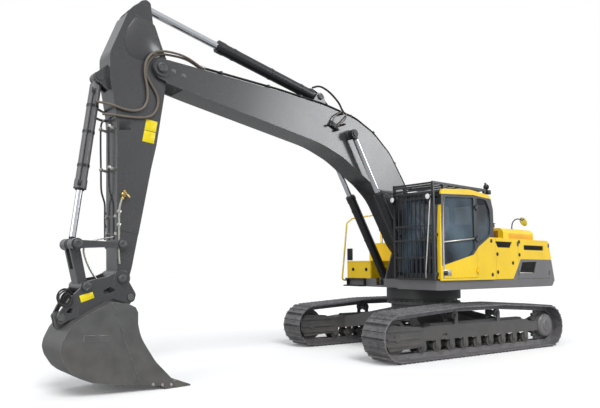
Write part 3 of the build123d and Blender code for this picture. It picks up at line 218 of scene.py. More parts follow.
# %% World and floor
DAYLIGHT = 0.62
ROOM, PANEL_LIGHT = 0.68, 9.0
PANEL_WAY = Vector((-0.700, 0.690, 0.240)).normalized()
PANEL_EDGE, PANEL_CORE = 0.982, 0.996
world = bpy.data.worlds.new("daylight")
world.use_nodes = True
sky = world.node_tree
sky.nodes.clear()

path = put(sky, "ShaderNodeLightPath").outputs
seen = calc(sky, "MAXIMUM", path["Is Camera Ray"], path["Is Transmission Ray"])
towards = along(sky, put(sky, "ShaderNodeTexCoord").outputs["Generated"], PANEL_WAY)
panel = ranged(sky, towards, PANEL_EDGE, PANEL_CORE, ROOM, PANEL_LIGHT)
lit = choose(sky, path["Is Glossy Ray"], glow(sky, (0.95, 0.975, 1, 1), DAYLIGHT),
             glow(sky, (0.96, 0.98, 1, 1), panel))
put(sky, "ShaderNodeOutputWorld", {"Surface": choose(sky, seen, lit,
                                                     glow(sky, (1, 1, 1, 1), 1.0))})
bpy.context.scene.world = world

FLOOR_RADIUS = 60
FLOOR_BOUNCE, FLOOR_SEEN, FLOOR_GLOW = 0.36, 0.915, 0.06
tree = new_material("white_paper")
path = put(tree, "ShaderNodeLightPath").outputs
matt, bright = (put(tree, "ShaderNodeBsdfDiffuse", {"Color": (level, level, level, 1)}).outputs[0]
                for level in (FLOOR_BOUNCE, FLOOR_SEEN))
shine = put(tree, "ShaderNodeEmission", {"Color": (1, 1, 1, 1), "Strength": FLOOR_GLOW})
both = put(tree, "ShaderNodeAddShader", {0: bright, 1: shine.outputs[0]}).outputs[0]
put(tree, "ShaderNodeOutputMaterial", {"Surface": choose(tree, path["Is Camera Ray"], matt, both)})
mesh = bpy.data.meshes.new("floor")
disc = bmesh.new()
bmesh.ops.create_circle(disc, cap_ends=True, segments=96, radius=FLOOR_RADIUS)
disc.to_mesh(mesh)
disc.free()
mesh.materials.append(bpy.data.materials["white_paper"])
floor = bpy.data.objects.new("floor", mesh)
bpy.context.scene.collection.objects.link(floor)
floor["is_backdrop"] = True
print("floor radius", FLOOR_RADIUS, "m")

# %% [markdown]
# Studio light for paintwork comes from large soft sources. A wide sun with a soft edge stands for
# the main one, high on the cab's side, and a weaker second one from the bucket's side
# keeps the near faces of the boom readable. Both are at a level where yellow renders as yellow.

# %% Lamps
def lamp(name, direction, strength, softness):
    """A sun that shines along a direction. Softness is its width in degrees."""
    data = bpy.data.lights.new(name, "SUN")
    data.energy = strength
    data.angle = math.radians(softness)
    sun = bpy.data.objects.new(name, data)
    sun.rotation_euler = Vector(direction).to_track_quat("-Z", "Y").to_euler()
    bpy.context.scene.collection.objects.link(sun)


lamp("main_light", (-0.22, -0.64, -0.78), 1.95, 30)
lamp("side_light", (-0.88, -0.20, -0.30), 0.95, 40)

# %% [markdown]
# Paint on steel wears first along its edges. The Bevel node gives the direction that a
# surface would have if its edges were rounded. Where that differs from the true direction
# there is an edge, and noise breaks the line up so that it looks rubbed and not drawn.

# %% Shared effect: worn edges
wear, given, result = open_group(
    "worn_edges", {"Width": 0.012, "Amount": 0.6, "Patch Size": 9.0}, ["Mask"])
true_way = put(wear, "ShaderNodeNewGeometry").outputs["Normal"]
round_way = put(wear, "ShaderNodeBevel", {"Radius": given["Width"]}, samples=4).outputs["Normal"]
edge = ranged(wear, along(wear, true_way, round_way), 0.995, 0.86)
patches = noise(wear, object_place(wear), given["Patch Size"], 5.0, 0.65)
worn = calc(wear, "MULTIPLY", edge, ranged(wear, patches, 0.42, 0.62))
wear.links.new(calc(wear, "MULTIPLY", worn, given["Amount"]), result["Mask"])

# %% [markdown]
# Dust is thickest near the ground and on faces that look up. The group mixes both: height
# is read from the Object coordinates, which are metres above the ground here, and the share that
# faces up comes from the surface direction. Soft noise makes it uneven.

# %% Shared effect: settled dust
dust, given, result = open_group(
    "settled_dust", {"Clean Height": 1.2, "Amount": 0.5, "On Top": 0.35}, ["Mask"])
spot = put(dust, "ShaderNodeTexCoord").outputs
height, facing = (put(dust, "ShaderNodeSeparateXYZ", {0: spot[name]}).outputs["Z"]
                  for name in ("Object", "Normal"))
low = ranged(dust, height, given["Clean Height"], 0.0)
upward = ranged(dust, facing, 0.6, 1.0, 0.0, given["On Top"])
clouds = ranged(dust, noise(dust, spot["Object"], 3.2, 7.0, 0.62), 0.30, 0.72)
thick = calc(dust, "MULTIPLY", calc(dust, "MAXIMUM", low, upward), clouds)
dust.links.new(calc(dust, "MULTIPLY", thick, given["Amount"]), result["Mask"])

# %% [markdown]
# Sprayed paint isn't glass: it has fine orange peel, and its gloss changes a little from
# place to place. This group gives a height for a Bump node and a roughness that wanders.

# %% Shared effect: sprayed paint
spray, given, result = open_group(
    "sprayed_paint", {"Grain": 260.0, "Roughness": 0.35, "Wander": 0.08}, ["Height", "Roughness"])
place = object_place(spray)
spray.links.new(noise(spray, place, given["Grain"], 2.0), result["Height"])
shift = calc(spray, "SUBTRACT", noise(spray, place, 2.4, 5.0), 0.5)
change = calc(spray, "MULTIPLY", shift, given["Wander"])
spray.links.new(calc(spray, "ADD", given["Roughness"], change), result["Roughness"])
print("node groups:", [g.name for g in bpy.data.node_groups])

# %% [markdown]
# All painted steel on the machine is one recipe with other values: a base colour that wanders
# slightly, bare primer along the edges, dust on top, and the sprayed skin as bump. It is a
# function, so that yellow, charcoal, grey and black paint differ only in their numbers. Some
# panels carry two colours: the rear is yellow above and grey below, and the black cab has yellow
# fields. Such a field is a zone, bounded by planes, and a plane is a direction and a level.

# %% Painted steel
DUST_TONE = tone(150, 140, 124)


def beyond(tree, place, direction, level):
    """1 where a point lies farther along a direction than a level."""
    return calc(tree, "GREATER_THAN", along(tree, place, direction), level)


def painted(name, colour, roughness, edge_tone, edge=0.5, dirt=0.25, clean=1.1, top=0.15,
            coat=0.0, zones=()):
    """A paint. A zone is a second colour, with the limits that all hold inside it."""
    tree = new_material(name)
    place = object_place(tree)
    shade = ranged(tree, noise(tree, place, 1.7, 4.0), 0.3, 0.7, 0.93, 1.06)
    colour = flat(tree, colour)
    for other, limits in zones:
        inside = beyond(tree, place, *limits[0])
        for limit in limits[1:]:
            inside = calc(tree, "MULTIPLY", inside, beyond(tree, place, *limit))
        colour = mixed(tree, inside, colour, other)
    edges = use(tree, wear, {"Amount": edge})[0]
    dirty = use(tree, dust, {"Amount": dirt, "Clean Height": clean, "On Top": top})[0]
    skin = use(tree, spray, {"Roughness": roughness})
    rubbed = mixed(tree, edges, scaled(tree, colour, shade), edge_tone)
    surface(tree, {"Base Color": mixed(tree, dirty, rubbed, DUST_TONE),
                   "Roughness": calc(tree, "MULTIPLY_ADD", dirty, 0.5, skin["Roughness"]),
                   "Normal": bumped(tree, skin["Height"], 0.05, 0.002),
                   "Coat Weight": coat, "Coat Roughness": 0.12})


YELLOW, GREY = tone(254, 212, 2), tone(107, 106, 108)
BLACK, CHARCOAL = tone(34, 35, 38), tone(66, 66, 68)
PALE = tone(176, 176, 178)
LEFT, AHEAD, UP, DOWN = (0, 1, 0), (1, 0, 0), (0, 0, 1), (0, 0, -1)
REAR_LOWER = [(GREY, [(DOWN, -1.855), ((-1, 0, -0.77), 0.0963)])]
CAB_SIDE, ROOF_SIDE = (LEFT, 1.48), (LEFT, 1.46)
CAB_LOWER = [(YELLOW, [CAB_SIDE, ((-0.2169, 0, -1), -1.9937)]),
             (YELLOW, [CAB_SIDE, ((-0.8818, 0, -1), -2.2067), ((-0.5128, 0, -1), -2.1558),
                       (DOWN, -2.286)])]
ROOF_RAIL = [(YELLOW, [ROOF_SIDE, ((0.06, 0, 1), 3.126)]),
             (YELLOW, [ROOF_SIDE, ((-0.05, 0, 1), 3.093)])]
FRONT_POST = [(YELLOW, [(AHEAD, 1.355), (LEFT, 1.43), (UP, 1.46), (DOWN, -3.1)])]
DOOR_FRONT = [(PALE, [(AHEAD, 1.272)])]
BLACK_EDGE, BRIGHT_EDGE = tone(92, 92, 95), tone(160, 160, 160)
painted("yellow_paint", YELLOW, 0.34, tone(255, 224, 90), 0.45, 0.1, 1.6, 0.06, 0.2)
painted("yellow_over_grey", YELLOW, 0.34, tone(235, 215, 130), 0.35, 0.1, 1.6, 0.06, 0.2,
        REAR_LOWER)
painted("cab_paint", BLACK, 0.34, BLACK_EDGE, 0.3, 0.12, 1.4, 0.08, 0.2,
        CAB_LOWER + ROOF_RAIL + FRONT_POST)
painted("cab_door_paint", BLACK, 0.34, BLACK_EDGE, 0.3, 0.12, 1.4, 0.08, 0.2,
        CAB_LOWER + DOOR_FRONT)
painted("charcoal_paint", CHARCOAL, 0.27, BRIGHT_EDGE, 0.5, 0.22, 0.9, 0.2, 0.4)
painted("grey_paint", GREY, 0.42, tone(150, 148, 142), 0.45, 0.25, 1.5, 0.2, 0.1)
painted("black_paint", BLACK, 0.38, BLACK_EDGE, 0.45, 0.15, 1.4, 0.1, 0.15)
painted("undercarriage_paint", tone(74, 74, 76), 0.5, tone(140, 138, 132), 0.6, 0.35, 0.9, 0.25)
painted("slewing_ring_paint", tone(56, 56, 57), 0.45, tone(120, 118, 114), 0.5, 0.3, 0.9, 0.3)
painted("handrail_paint", tone(246, 214, 90), 0.4, tone(200, 190, 160), 0.4, 0.1)
print("paints:", [m.name for m in bpy.data.materials])

# %% [markdown]
# Some pieces aren't painted. Track shoes are cast steel that grinds on stone: dark rust in the
# hollows, bright on the grousers. Cylinder rods are hard chrome, a mirror with a faint brushed
# line, but the eye that is welded to a rod's end is painted dark. It starts at a plane, too.

# %% Bare metals
def metal(name, colour, roughness, metallic, streak=(6, 6, 6), contrast=0.2, bump_depth=0.1,
          edge_tone=None, dirt=0.0, eye=None):
    """Bare metal with streaks, as fine as streak says. A painted eye lies beyond a plane."""
    tree = new_material(name)
    place = object_place(tree)
    lines = noise(tree, stretched(tree, place, streak), 1.0, 8.0, 0.6)
    shade = ranged(tree, lines, 0.3, 0.7, 1 - contrast, 1 + contrast)
    base = scaled(tree, flat(tree, colour), shade)
    if edge_tone:
        edges = use(tree, wear, {"Amount": 0.8, "Width": 0.01, "Patch Size": 14.0})[0]
        base = mixed(tree, edges, base, edge_tone)
    if dirt:
        dirty = use(tree, dust, {"Amount": dirt, "Clean Height": 1.1, "On Top": 0.4})[0]
        base = mixed(tree, dirty, base, DUST_TONE)
    dull = ranged(tree, lines, 0.3, 0.7, roughness - 0.05, roughness + 0.08)
    if eye:
        inside = beyond(tree, place, *eye)
        base = mixed(tree, inside, base, BLACK)
        dull = calc(tree, "MULTIPLY_ADD", inside, 0.32, dull)
        metallic = calc(tree, "SUBTRACT", metallic, inside, use_clamp=True)
    surface(tree, {"Base Color": base, "Roughness": dull, "Metallic": metallic,
                   "Normal": bumped(tree, lines, bump_depth, 0.004)})


metal("track_shoe_steel", tone(116, 115, 118), 0.44, 0.5, (9, 9, 9), 0.3, 0.25,
      tone(178, 176, 174), 0.22)
ROD_EYES = {"boom_rod_chrome": ((0.5306, 0, 0.8476), 4.785),
            "arm_rod_chrome": ((0.98, 0, 0.1991), 7.54),
            "bucket_rod_chrome": ((0.1035, 0, -0.9946), -1.278)}
for name, eye in ROD_EYES.items():
    metal(name, tone(224, 226, 230), 0.1, 1.0, (40, 2, 40), 0.04, 0.02, eye=eye)
metal("dark_cast_iron", tone(60, 60, 60), 0.6, 0.4, (14, 14, 14), 0.2, 0.3)
metal("worn_bucket_steel", tone(104, 104, 104), 0.42, 0.6, (5, 2, 5), 0.14, 0.12,
      tone(190, 190, 188), 0.3)
print("with bare metals:", len(bpy.data.materials))

# %% [markdown]
# Window glass is tinted, and nearly a mirror at a flat angle. Soft pale blue patches in its colour
# are a painted reflection, which stands for what it mirrors. The seat is covered with woven cloth
# that is only glimpsed through the glass, so a fine weave made of two crossed waves is enough.

# %% Glass and seat cloth
GLASS_TINT, GLASS_PAINTED_REFLECTION = tone(22, 30, 44), tone(112, 136, 152)
tree = new_material("tinted_cab_glass")
place = object_place(tree)
ripple = noise(tree, place, 2.0, 2.0)
# Soft pale patches mixed into the glass colour are a painted reflection.
painted_reflection = noise(tree, stretched(tree, place, (1.1, 1.1, 0.9)), 1.3, 1.0)
surface(tree, {"Base Color": mixed(tree, ranged(tree, painted_reflection, 0.36, 0.74), GLASS_TINT, GLASS_PAINTED_REFLECTION),
               "Roughness": ranged(tree, ripple, 0.0, 1.0, 0.02, 0.05), "IOR": 1.5,
               "Alpha": 0.58, "Normal": bumped(tree, ripple, 0.02, 0.01)})

tree = new_material("seat_cloth")
warp, weft = (put(tree, "ShaderNodeTexWave", {"Vector": object_place(tree), "Scale": 160.0},
                  bands_direction=way).outputs["Fac"] for way in "YZ")
weave = calc(tree, "MULTIPLY", warp, weft)
surface(tree, {"Base Color": mixed(tree, weave, tone(34, 36, 40), tone(66, 70, 78)),
               "Roughness": 0.85, "Normal": bumped(tree, weave, 0.3, 0.001),
               "Sheen Weight": 0.3})
print("finishes of CAD nodes:", len(bpy.data.materials) - 1)

# %% [markdown]
# Each CAD node now gets its finish. A node has one material slot, and only that slot is
# assigned: the CAD shapes are never moved or changed.

# %% Finish of each CAD node
FINISHES = {
    "yellow_paint": ["side_panels", "deck_top", "fuel_tank", "hydraulic_tank", "toolbox",
                     "toolbox_lid", "engine_hood"],
    "cab_paint": ["cab_shell"],
    "cab_door_paint": ["cab_door"],
    "yellow_over_grey": ["counterweight", "left_rear_door", "right_door", "left_front_door"],
    "charcoal_paint": ["boom", "arm", "guide_links", "push_link", "coupler"],
    "worn_bucket_steel": ["bucket_shell", "bucket_teeth"],
    "grey_paint": ["upper_frame", "sprockets", "bucket_cylinder_tube"],
    "black_paint": ["cab_guards", "front_steps", "air_intake",
                    "boom_cylinder_tubes", "arm_cylinder_tube"],
    "undercarriage_paint": ["centre_frame", "track_frames", "idlers", "track_rollers"],
    "handrail_paint": ["handrails"],
    "track_shoe_steel": ["track_left", "track_right"],
    "slewing_ring_paint": ["slewing_ring", "upper_race"],
    "boom_rod_chrome": ["boom_cylinder_rods"],
    "arm_rod_chrome": ["arm_cylinder_rod"],
    "bucket_rod_chrome": ["bucket_cylinder_rod"],
    "dark_cast_iron": ["engine"],
    "tinted_cab_glass": ["cab_glass", "door_glass"],
    "seat_cloth": ["cab_interior"],
}
for finish, names in FINISHES.items():
    for name in names:
        nodes[name].material_slots[0].material = bpy.data.materials[finish]
print("finished nodes:", sum(len(names) for names in FINISHES.values()), "of", len(nodes))

# %% [markdown]
# The finishes so far cover the CAD shapes. The small pieces need a few more: rubber for hoses,
# zinc plating for fittings and bolts, mirror glass, lamp lenses, blank label film, and a black
# grit that is glued to walkways. Rubber and plastic share one recipe, with a moulded grain.

# %% Rubber, plastic and film
def moulded(name, colour, roughness, grain, depth, dirt=0.2, metallic=0.0):
    """Rubber, plastic or film: a fine grain as bump, uneven gloss, and some dust."""
    tree = new_material(name)
    place = object_place(tree)
    fade = noise(tree, place, 7.0, 4.0)
    base = scaled(tree, flat(tree, colour), ranged(tree, fade, 0.3, 0.7, 0.88, 1.1))
    dirty = use(tree, dust, {"Amount": dirt, "Clean Height": 1.4, "On Top": 0.3})[0]
    surface(tree, {"Base Color": mixed(tree, dirty, base, DUST_TONE),
                   "Roughness": ranged(tree, fade, 0.3, 0.7, roughness - 0.04, roughness + 0.06),
                   "Metallic": metallic,
                   "Normal": bumped(tree, noise(tree, place, grain, 4.0), depth, 0.002)})


moulded("hose_rubber", tone(38, 37, 36), 0.55, 220.0, 0.2)
moulded("brown_hose", tone(112, 103, 92), 0.6, 220.0, 0.2)
moulded("black_plastic", tone(26, 27, 29), 0.42, 300.0, 0.15)
moulded("walkway_grit", tone(40, 40, 41), 0.9, 420.0, 0.9, 0.3)
moulded("label_film", tone(250, 226, 20), 0.3, 60.0, 0.03, 0.05)
moulded("mirror_glass", tone(205, 212, 220), 0.06, 3.0, 0.01, 0.05, 1.0)
moulded("lamp_lens", tone(238, 240, 242), 0.12, 40.0, 0.1, 0.05)
metal("zinc_plating", tone(196, 194, 186), 0.3, 0.85, (40, 40, 40), 0.12, 0.06)
metal("brass", tone(196, 170, 106), 0.28, 0.9, (60, 60, 60), 0.12, 0.06)
painted("iron_paint", tone(74, 75, 76), 0.42, BRIGHT_EDGE, 0.6, 0.3, 1.0, 0.2, 0.1)
# The grille's brown is painted shade of the hood's front; the louvres' darker yellow is painted
# shade between the slats.
painted("hood_grille_painted_shade", tone(156, 98, 24), 0.5, tone(230, 180, 70), 0.4, 0.2, 2.0, 0.2)
painted("louvre_painted_shade", tone(226, 174, 60), 0.45, tone(250, 214, 120), 0.5, 0.2, 2.0, 0.2)
# A flat dark colour for the backs of vents: painted shade.
metal("painted_shade_black", tone(26, 26, 28), 0.8, 0.2, (12, 12, 12), 0.2, 0.2)
print("finishes:", len(bpy.data.materials))

# %% [markdown]
# Every small piece starts as a bmesh, the mesh form that Blender's operators work on. Four makers
# are enough for most of them: a bar with rounded edges, a flat plate cut from an outline, a shape
# turned on a lathe, and a bolt. Each comes back as a bmesh near the origin. One more function
# lays it in its place and joins it to the piece that it belongs to.

# %% Helpers for shapes
LAYS = {"X": Matrix.Rotation(math.pi / 2, 4, "Y"), "-X": Matrix.Rotation(-math.pi / 2, 4, "Y"),
        "Y": Matrix.Rotation(-math.pi / 2, 4, "X"), "-Y": Matrix.Rotation(math.pi / 2, 4, "X"),
        "Z": Matrix.Identity(4)}
SIDES = ((1, "Y"), (-1, "-Y"))


def at(x, y, z, lay="Z", turn=0):
    """A place whose own Z lies along an axis, turned about it by so many degrees."""
    return Matrix.Translation((x, y, z)) @ LAYS[lay] @ Matrix.Rotation(math.radians(turn), 4, "Z")


def lean(x, y, z, about, degrees):
    """A place that is turned about X, Y or Z."""
    return Matrix.Translation((x, y, z)) @ Matrix.Rotation(math.radians(degrees), 4, about)


def bar(length, width, height, edge=0.004):
    """A bar along X with rounded edges."""
    shape = bmesh.new()
    bmesh.ops.create_cube(shape, size=1, matrix=Matrix.Diagonal((length, width, height, 1)))
    bmesh.ops.bevel(shape, geom=shape.edges[:], offset=edge, segments=2, profile=0.5,
                    affect="EDGES", material=-1)
    return shape


def plate(corners, thickness, edge=0.002):
    """A plate whose outline lies in X and Z. Its thickness goes along Y."""
    shape = bmesh.new()
    face = shape.faces.new([shape.verts.new((a, 0, b)) for a, b in corners])
    made = bmesh.ops.extrude_face_region(shape, geom=[face])
    moved = [item for item in made["geom"] if isinstance(item, bmesh.types.BMVert)]
    bmesh.ops.translate(shape, vec=(0, thickness, 0), verts=moved)
    bmesh.ops.bevel(shape, geom=shape.edges[:], offset=edge, segments=2, profile=0.5,
                    affect="EDGES", material=-1)
    bmesh.ops.recalc_face_normals(shape, faces=shape.faces)
    return shape


def turned(profile, steps=24):
    """A shape turned about Z. The profile is a run of (radius, height)."""
    shape = bmesh.new()
    line = [shape.verts.new((radius, 0, height)) for radius, height in profile]
    edges = [shape.edges.new(pair) for pair in zip(line, line[1:])]
    bmesh.ops.spin(shape, geom=line + edges, cent=(0, 0, 0), axis=(0, 0, 1),
                   angle=2 * math.pi, steps=steps, use_merge=True)
    bmesh.ops.remove_doubles(shape, verts=shape.verts, dist=1e-5)
    return shape


def bolt(radius):
    """A hexagon head on its washer."""
    shape = bmesh.new()
    bmesh.ops.create_cone(shape, cap_ends=True, segments=12, radius1=radius * 1.4,
                          radius2=radius * 1.35, depth=radius * 0.25)
    bmesh.ops.create_cone(shape, cap_ends=True, segments=6, radius1=radius, radius2=radius * 0.9,
                          depth=radius * 0.8, matrix=at(0, 0, radius * 0.45))
    return shape


def join(whole, part, place=Matrix.Identity(4)):
    """Lay a part in its place in a larger shape. The part's bmesh is used up."""
    bmesh.ops.transform(part, matrix=place, verts=part.verts)
    bmesh.ops.recalc_face_normals(part, faces=part.faces)
    mesh = bpy.data.meshes.new("part")
    part.to_mesh(mesh)
    part.free()
    whole.from_mesh(mesh)
    bpy.data.meshes.remove(mesh)


def piece(name, shape, material, body, frame_of=None):
    """Finish a piece: place it, smooth it between its sharp edges, and fix it to a body."""
    if frame_of:
        bmesh.ops.transform(shape, matrix=frame_of, verts=shape.verts)
    mesh = bpy.data.meshes.new(name)
    shape.to_mesh(mesh)
    shape.free()
    mesh.materials.append(bpy.data.materials[material])
    mesh.shade_smooth()
    mesh.set_sharp_from_angle(angle=math.radians(38))
    made = bpy.data.objects.new(name, mesh)
    bpy.context.scene.collection.objects.link(made)
    if body:
        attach(made, body)
    print(name, "faces:", len(mesh.polygons))
    return made

# %% [markdown]
# Hoses and steel pipes are drawn the way a fitter bends them: a few points guide a smooth curve,
# and a round section follows it. A NURBS curve of order 3 never overshoots its points. Its order
# is set after the points are added, because before that it would be cut down to straight runs.

# %% Helper for hoses and pipes
def tubes(runs, radius, steps=8):
    """Round tubes along smooth curves, as one bmesh."""
    curve = bpy.data.curves.new("runs", "CURVE")
    curve.dimensions = "3D"
    curve.bevel_depth = radius
    curve.bevel_resolution = 2
    curve.resolution_u = steps
    curve.use_fill_caps = True
    for run in runs:
        spline = curve.splines.new("NURBS")
        spline.points.add(len(run) - 1)
        for point, place in zip(spline.points, run):
            point.co = (*place, 1)
        spline.order_u = 3
        spline.use_endpoint_u = True
    holder = bpy.data.objects.new("runs", curve)
    mesh = bpy.data.meshes.new_from_object(holder)
    shape = bmesh.new()
    shape.from_mesh(mesh)
    bpy.data.objects.remove(holder)
    bpy.data.curves.remove(curve)
    bpy.data.meshes.remove(mesh)
    return shape


def both_sides(run):
    """A run and its mirror image across the machine's middle."""
    return [run, [(x, -y, z) for x, y, z in run]]

# %% [markdown]
# The boom and the arm lie at a slant, so their pieces are drawn in frames of their own: X runs
# along the boom from its foot pin, or along the arm from the pin at the boom's tip, and Z stands
# on its upper face. One matrix each then lays them in the world. The boom carries a bundle of
# steel pipes along its back, held by clamp bars with bolts. Their route follows its outline.

# %% Pipes on the boom
BOOM_FRAME = lean(0.497, 0, 2.015, "Y", -23.68)
ARM_FRAME = lean(6.44514, 0, 4.62357, "Y", 81.07)
BOOM_RIDGE = [(0.300, 0.595), (0.479, 0.765), (0.673, 0.950), (0.852, 1.125), (1.072, 1.245),
              (1.326, 1.382), (1.546, 1.500), (1.779, 1.553), (1.895, 1.580), (2.128, 1.634),
              (2.357, 1.632), (2.471, 1.630), (2.700, 1.625), (2.941, 1.560), (3.239, 1.480),
              (3.480, 1.414), (3.715, 1.327), (4.249, 1.128), (4.484, 1.041), (4.715, 0.946),
              (5.300, 0.704), (5.900, 0.456)]
PIPE_Y = (0.150, 0.186, 0.222)
PIPE_RADIUS = 0.0135
runs = []
for y, last in zip(PIPE_Y, (14, 22, 22)):
    runs += both_sides([(u, y, v) for u, v in BOOM_RIDGE[:last]])
piece("boom_pipes", tubes(runs, PIPE_RADIUS, 5), "black_paint", "boom", BOOM_FRAME)

CLAMP_PLACES = [(0.673, 0.950, 43.8), (1.326, 1.382, 28.4), (2.128, 1.634, 6.5),
                (2.800, 1.590, -7.5), (4.030, 1.210, -20.4), (4.715, 0.946, -22.0),
                (5.600, 0.580, -22.4)]
clamps, bolts = bmesh.new(), bmesh.new()
for u, v, slope in CLAMP_PLACES:
    for side in (1, -1):
        tilt = lean(u, side * PIPE_Y[1], v, "Y", -slope)
        join(clamps, bar(0.05, 0.112, 0.044, 0.006), tilt)
        join(clamps, bar(0.07, 0.06, 0.036, 0.004), tilt @ at(0, 0, -0.028))
        for across in (-0.018, 0.018):
            join(bolts, bolt(0.009), tilt @ at(0, across, 0.023))
piece("boom_pipe_clamps", clamps, "black_paint", "boom", BOOM_FRAME)
piece("boom_clamp_bolts", bolts, "zinc_plating", "boom", BOOM_FRAME)

# %% [markdown]
# Where the boom meets the arm, nothing rigid can cross the pin, so hoses leave the boom's pipes in
# a wide bow, hang down beside the joint, and turn in to the bucket cylinder. The two on the left
# follow the photograph, and the right side has its pair.

# %% Hoses over the arm joint
BOW_HOSE = [(5.760, 0.222, 4.792), (5.930, 0.226, 4.870), (6.100, 0.236, 4.905),
            (6.260, 0.246, 4.905), (6.420, 0.252, 4.890), (6.580, 0.254, 4.835),
            (6.668, 0.252, 4.728), (6.702, 0.246, 4.627), (6.706, 0.240, 4.488),
            (6.672, 0.236, 4.360), (6.646, 0.232, 4.244), (6.640, 0.230, 4.093),
            (6.694, 0.230, 3.960), (6.820, 0.230, 3.893), (6.983, 0.230, 3.890),
            (7.110, 0.226, 3.918), (7.225, 0.190, 3.945), (7.330, 0.080, 3.975)]
OUTER_HOSE = [(5.745, 0.186, 4.780), (5.920, 0.190, 4.858), (6.100, 0.200, 4.880),
              (6.270, 0.212, 4.868), (6.430, 0.222, 4.850), (6.560, 0.224, 4.790),
              (6.640, 0.222, 4.690), (6.672, 0.220, 4.580), (6.670, 0.219, 4.480),
              (6.620, 0.219, 4.390), (6.548, 0.219, 4.293), (6.476, 0.219, 4.187),
              (6.466, 0.219, 4.040), (6.530, 0.219, 3.900), (6.640, 0.219, 3.832),
              (6.830, 0.219, 3.800), (7.100, 0.219, 3.790), (7.195, 0.195, 3.792),
              (7.262, 0.140, 3.796)]
JOINT_HOSE = 0.0185
for name, run in (("bow_hose", BOW_HOSE), ("outer_hose", OUTER_HOSE)):
    for side, way in zip(("left", "right"), both_sides(run)):
        hose = piece(f"{name}_{side}", tubes([way], JOINT_HOSE, 6), "brown_hose", None)
        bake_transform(hose)

# %% [markdown]
# The hose ends are crimped into steel fittings, with a hexagon nut behind them. One fitting is
# turned on the lathe and set at each end. The arm cylinder is fed by two short arcs from the
# boom's pipes.

# %% Hose fittings and the arm cylinder's hoses
def fitting(radius):
    """A crimped collar with a nut."""
    collar = [(0, 0), (1.25, 0), (1.35, 0.3), (1.35, 2.6), (1.1, 3), (0.8, 3), (0.8, 3.6),
              (0, 3.6)]
    shape = turned([(radius * out, radius * up) for out, up in collar], 14)
    bmesh.ops.create_cone(shape, cap_ends=True, segments=6, radius1=radius * 1.5,
                          radius2=radius * 1.5, depth=radius * 1.1,
                          matrix=at(0, 0, radius * 4.1))
    return shape


FITTING = 0.016
ends = bmesh.new()
for y in PIPE_Y[1:] + tuple(-y for y in PIPE_Y[1:]):
    slope = lean(5.875, y, 0.467, "Y", 112.4)
    join(ends, fitting(FITTING), slope)
for y in (PIPE_Y[0], -PIPE_Y[0]):
    slope = lean(2.87, y, 1.585, "Y", 105)
    join(ends, fitting(FITTING), slope)
piece("boom_hose_fittings", ends, "zinc_plating", "boom", BOOM_FRAME)

CYLINDER_ARC = [(2.86, 0.150, 1.588), (2.98, 0.150, 1.600), (3.10, 0.152, 1.690),
                (3.28, 0.150, 1.735), (3.44, 0.140, 1.760), (3.62, 0.125, 1.745),
                (3.72, 0.105, 1.690), (3.77, 0.070, 1.625)]
arcs = tubes(both_sides(CYLINDER_ARC), 0.019, 6)
piece("arm_cylinder_hoses", arcs, "hose_rubber", "boom", BOOM_FRAME)

# %% [markdown]
# The arm carries its own pieces: a thicker plate welded round the pin, a blank yellow label in
# two panels, a dark data plate with nothing on it, and pipes. The black pipe in front stands off
# on brackets, and a second one is clamped to the side near the edge.

# %% Plates and pipes on the arm
ARM_SIDE = 0.1975
ON_ARM = at(0, ARM_SIDE + 0.0005, 0)
doubler = bmesh.new()
DOUBLER = [(-0.600, 0.524), (-0.403, 0.600), (-0.264, 0.607), (-0.110, 0.578), (-0.028, 0.500),
           (-0.010, 0.374), (-0.036, 0.258), (-0.080, 0.150), (-0.170, 0.045), (-0.330, 0.062),
           (-0.560, 0.212), (-0.630, 0.400)]
for side in (1, -1):
    mirror = Matrix.Scale(side, 4, (0, 1, 0))
    join(doubler, plate(DOUBLER, 0.007, 0.003), mirror @ at(0, ARM_SIDE, 0))
piece("arm_doubler_plates", doubler, "charcoal_paint", "arm", ARM_FRAME)

FILM, FILM_EDGE = 0.0015, 0.0004
label = bmesh.new()
for panel in ([(0.826, 0.064), (0.812, -0.112), (0.976, -0.116), (0.990, 0.064)],
              [(0.998, 0.064), (0.984, -0.116), (1.152, -0.118), (1.165, 0.064)]):
    join(label, plate(panel, FILM, FILM_EDGE), ON_ARM)
piece("arm_label", label, "label_film", "arm", ARM_FRAME)

data_plate = plate([(0.990, 0.448), (0.936, 0.290), (1.056, 0.264), (1.108, 0.424)], 0.003, 0.001)
piece("arm_data_plate", data_plate, "black_plastic", "arm", ARM_FRAME @ ON_ARM)

FACE_PIPE = [(0.925, 0.150, 0.530), (0.960, 0.150, 0.572), (1.060, 0.150, 0.572),
             (1.380, 0.150, 0.508), (1.680, 0.150, 0.442), (1.900, 0.150, 0.398),
             (1.990, 0.150, 0.370), (2.060, 0.152, 0.330), (2.130, 0.156, 0.290),
             (2.320, 0.160, 0.254), (2.560, 0.160, 0.204), (2.640, 0.160, 0.188)]
piece("arm_face_pipes", tubes(both_sides(FACE_PIPE), 0.014, 6), "black_paint", "arm",
      ARM_FRAME)

SIDE_PIPE = [(2.040, 0.216, 0.200), (2.140, 0.217, 0.220), (2.320, 0.217, 0.200),
             (2.500, 0.213, 0.160), (2.640, 0.207, 0.135), (2.860, 0.207, 0.092),
             (2.960, 0.207, 0.060)]
piece("arm_side_pipes", tubes(both_sides(SIDE_PIPE), 0.0155, 6), "zinc_plating", "arm",
      ARM_FRAME)

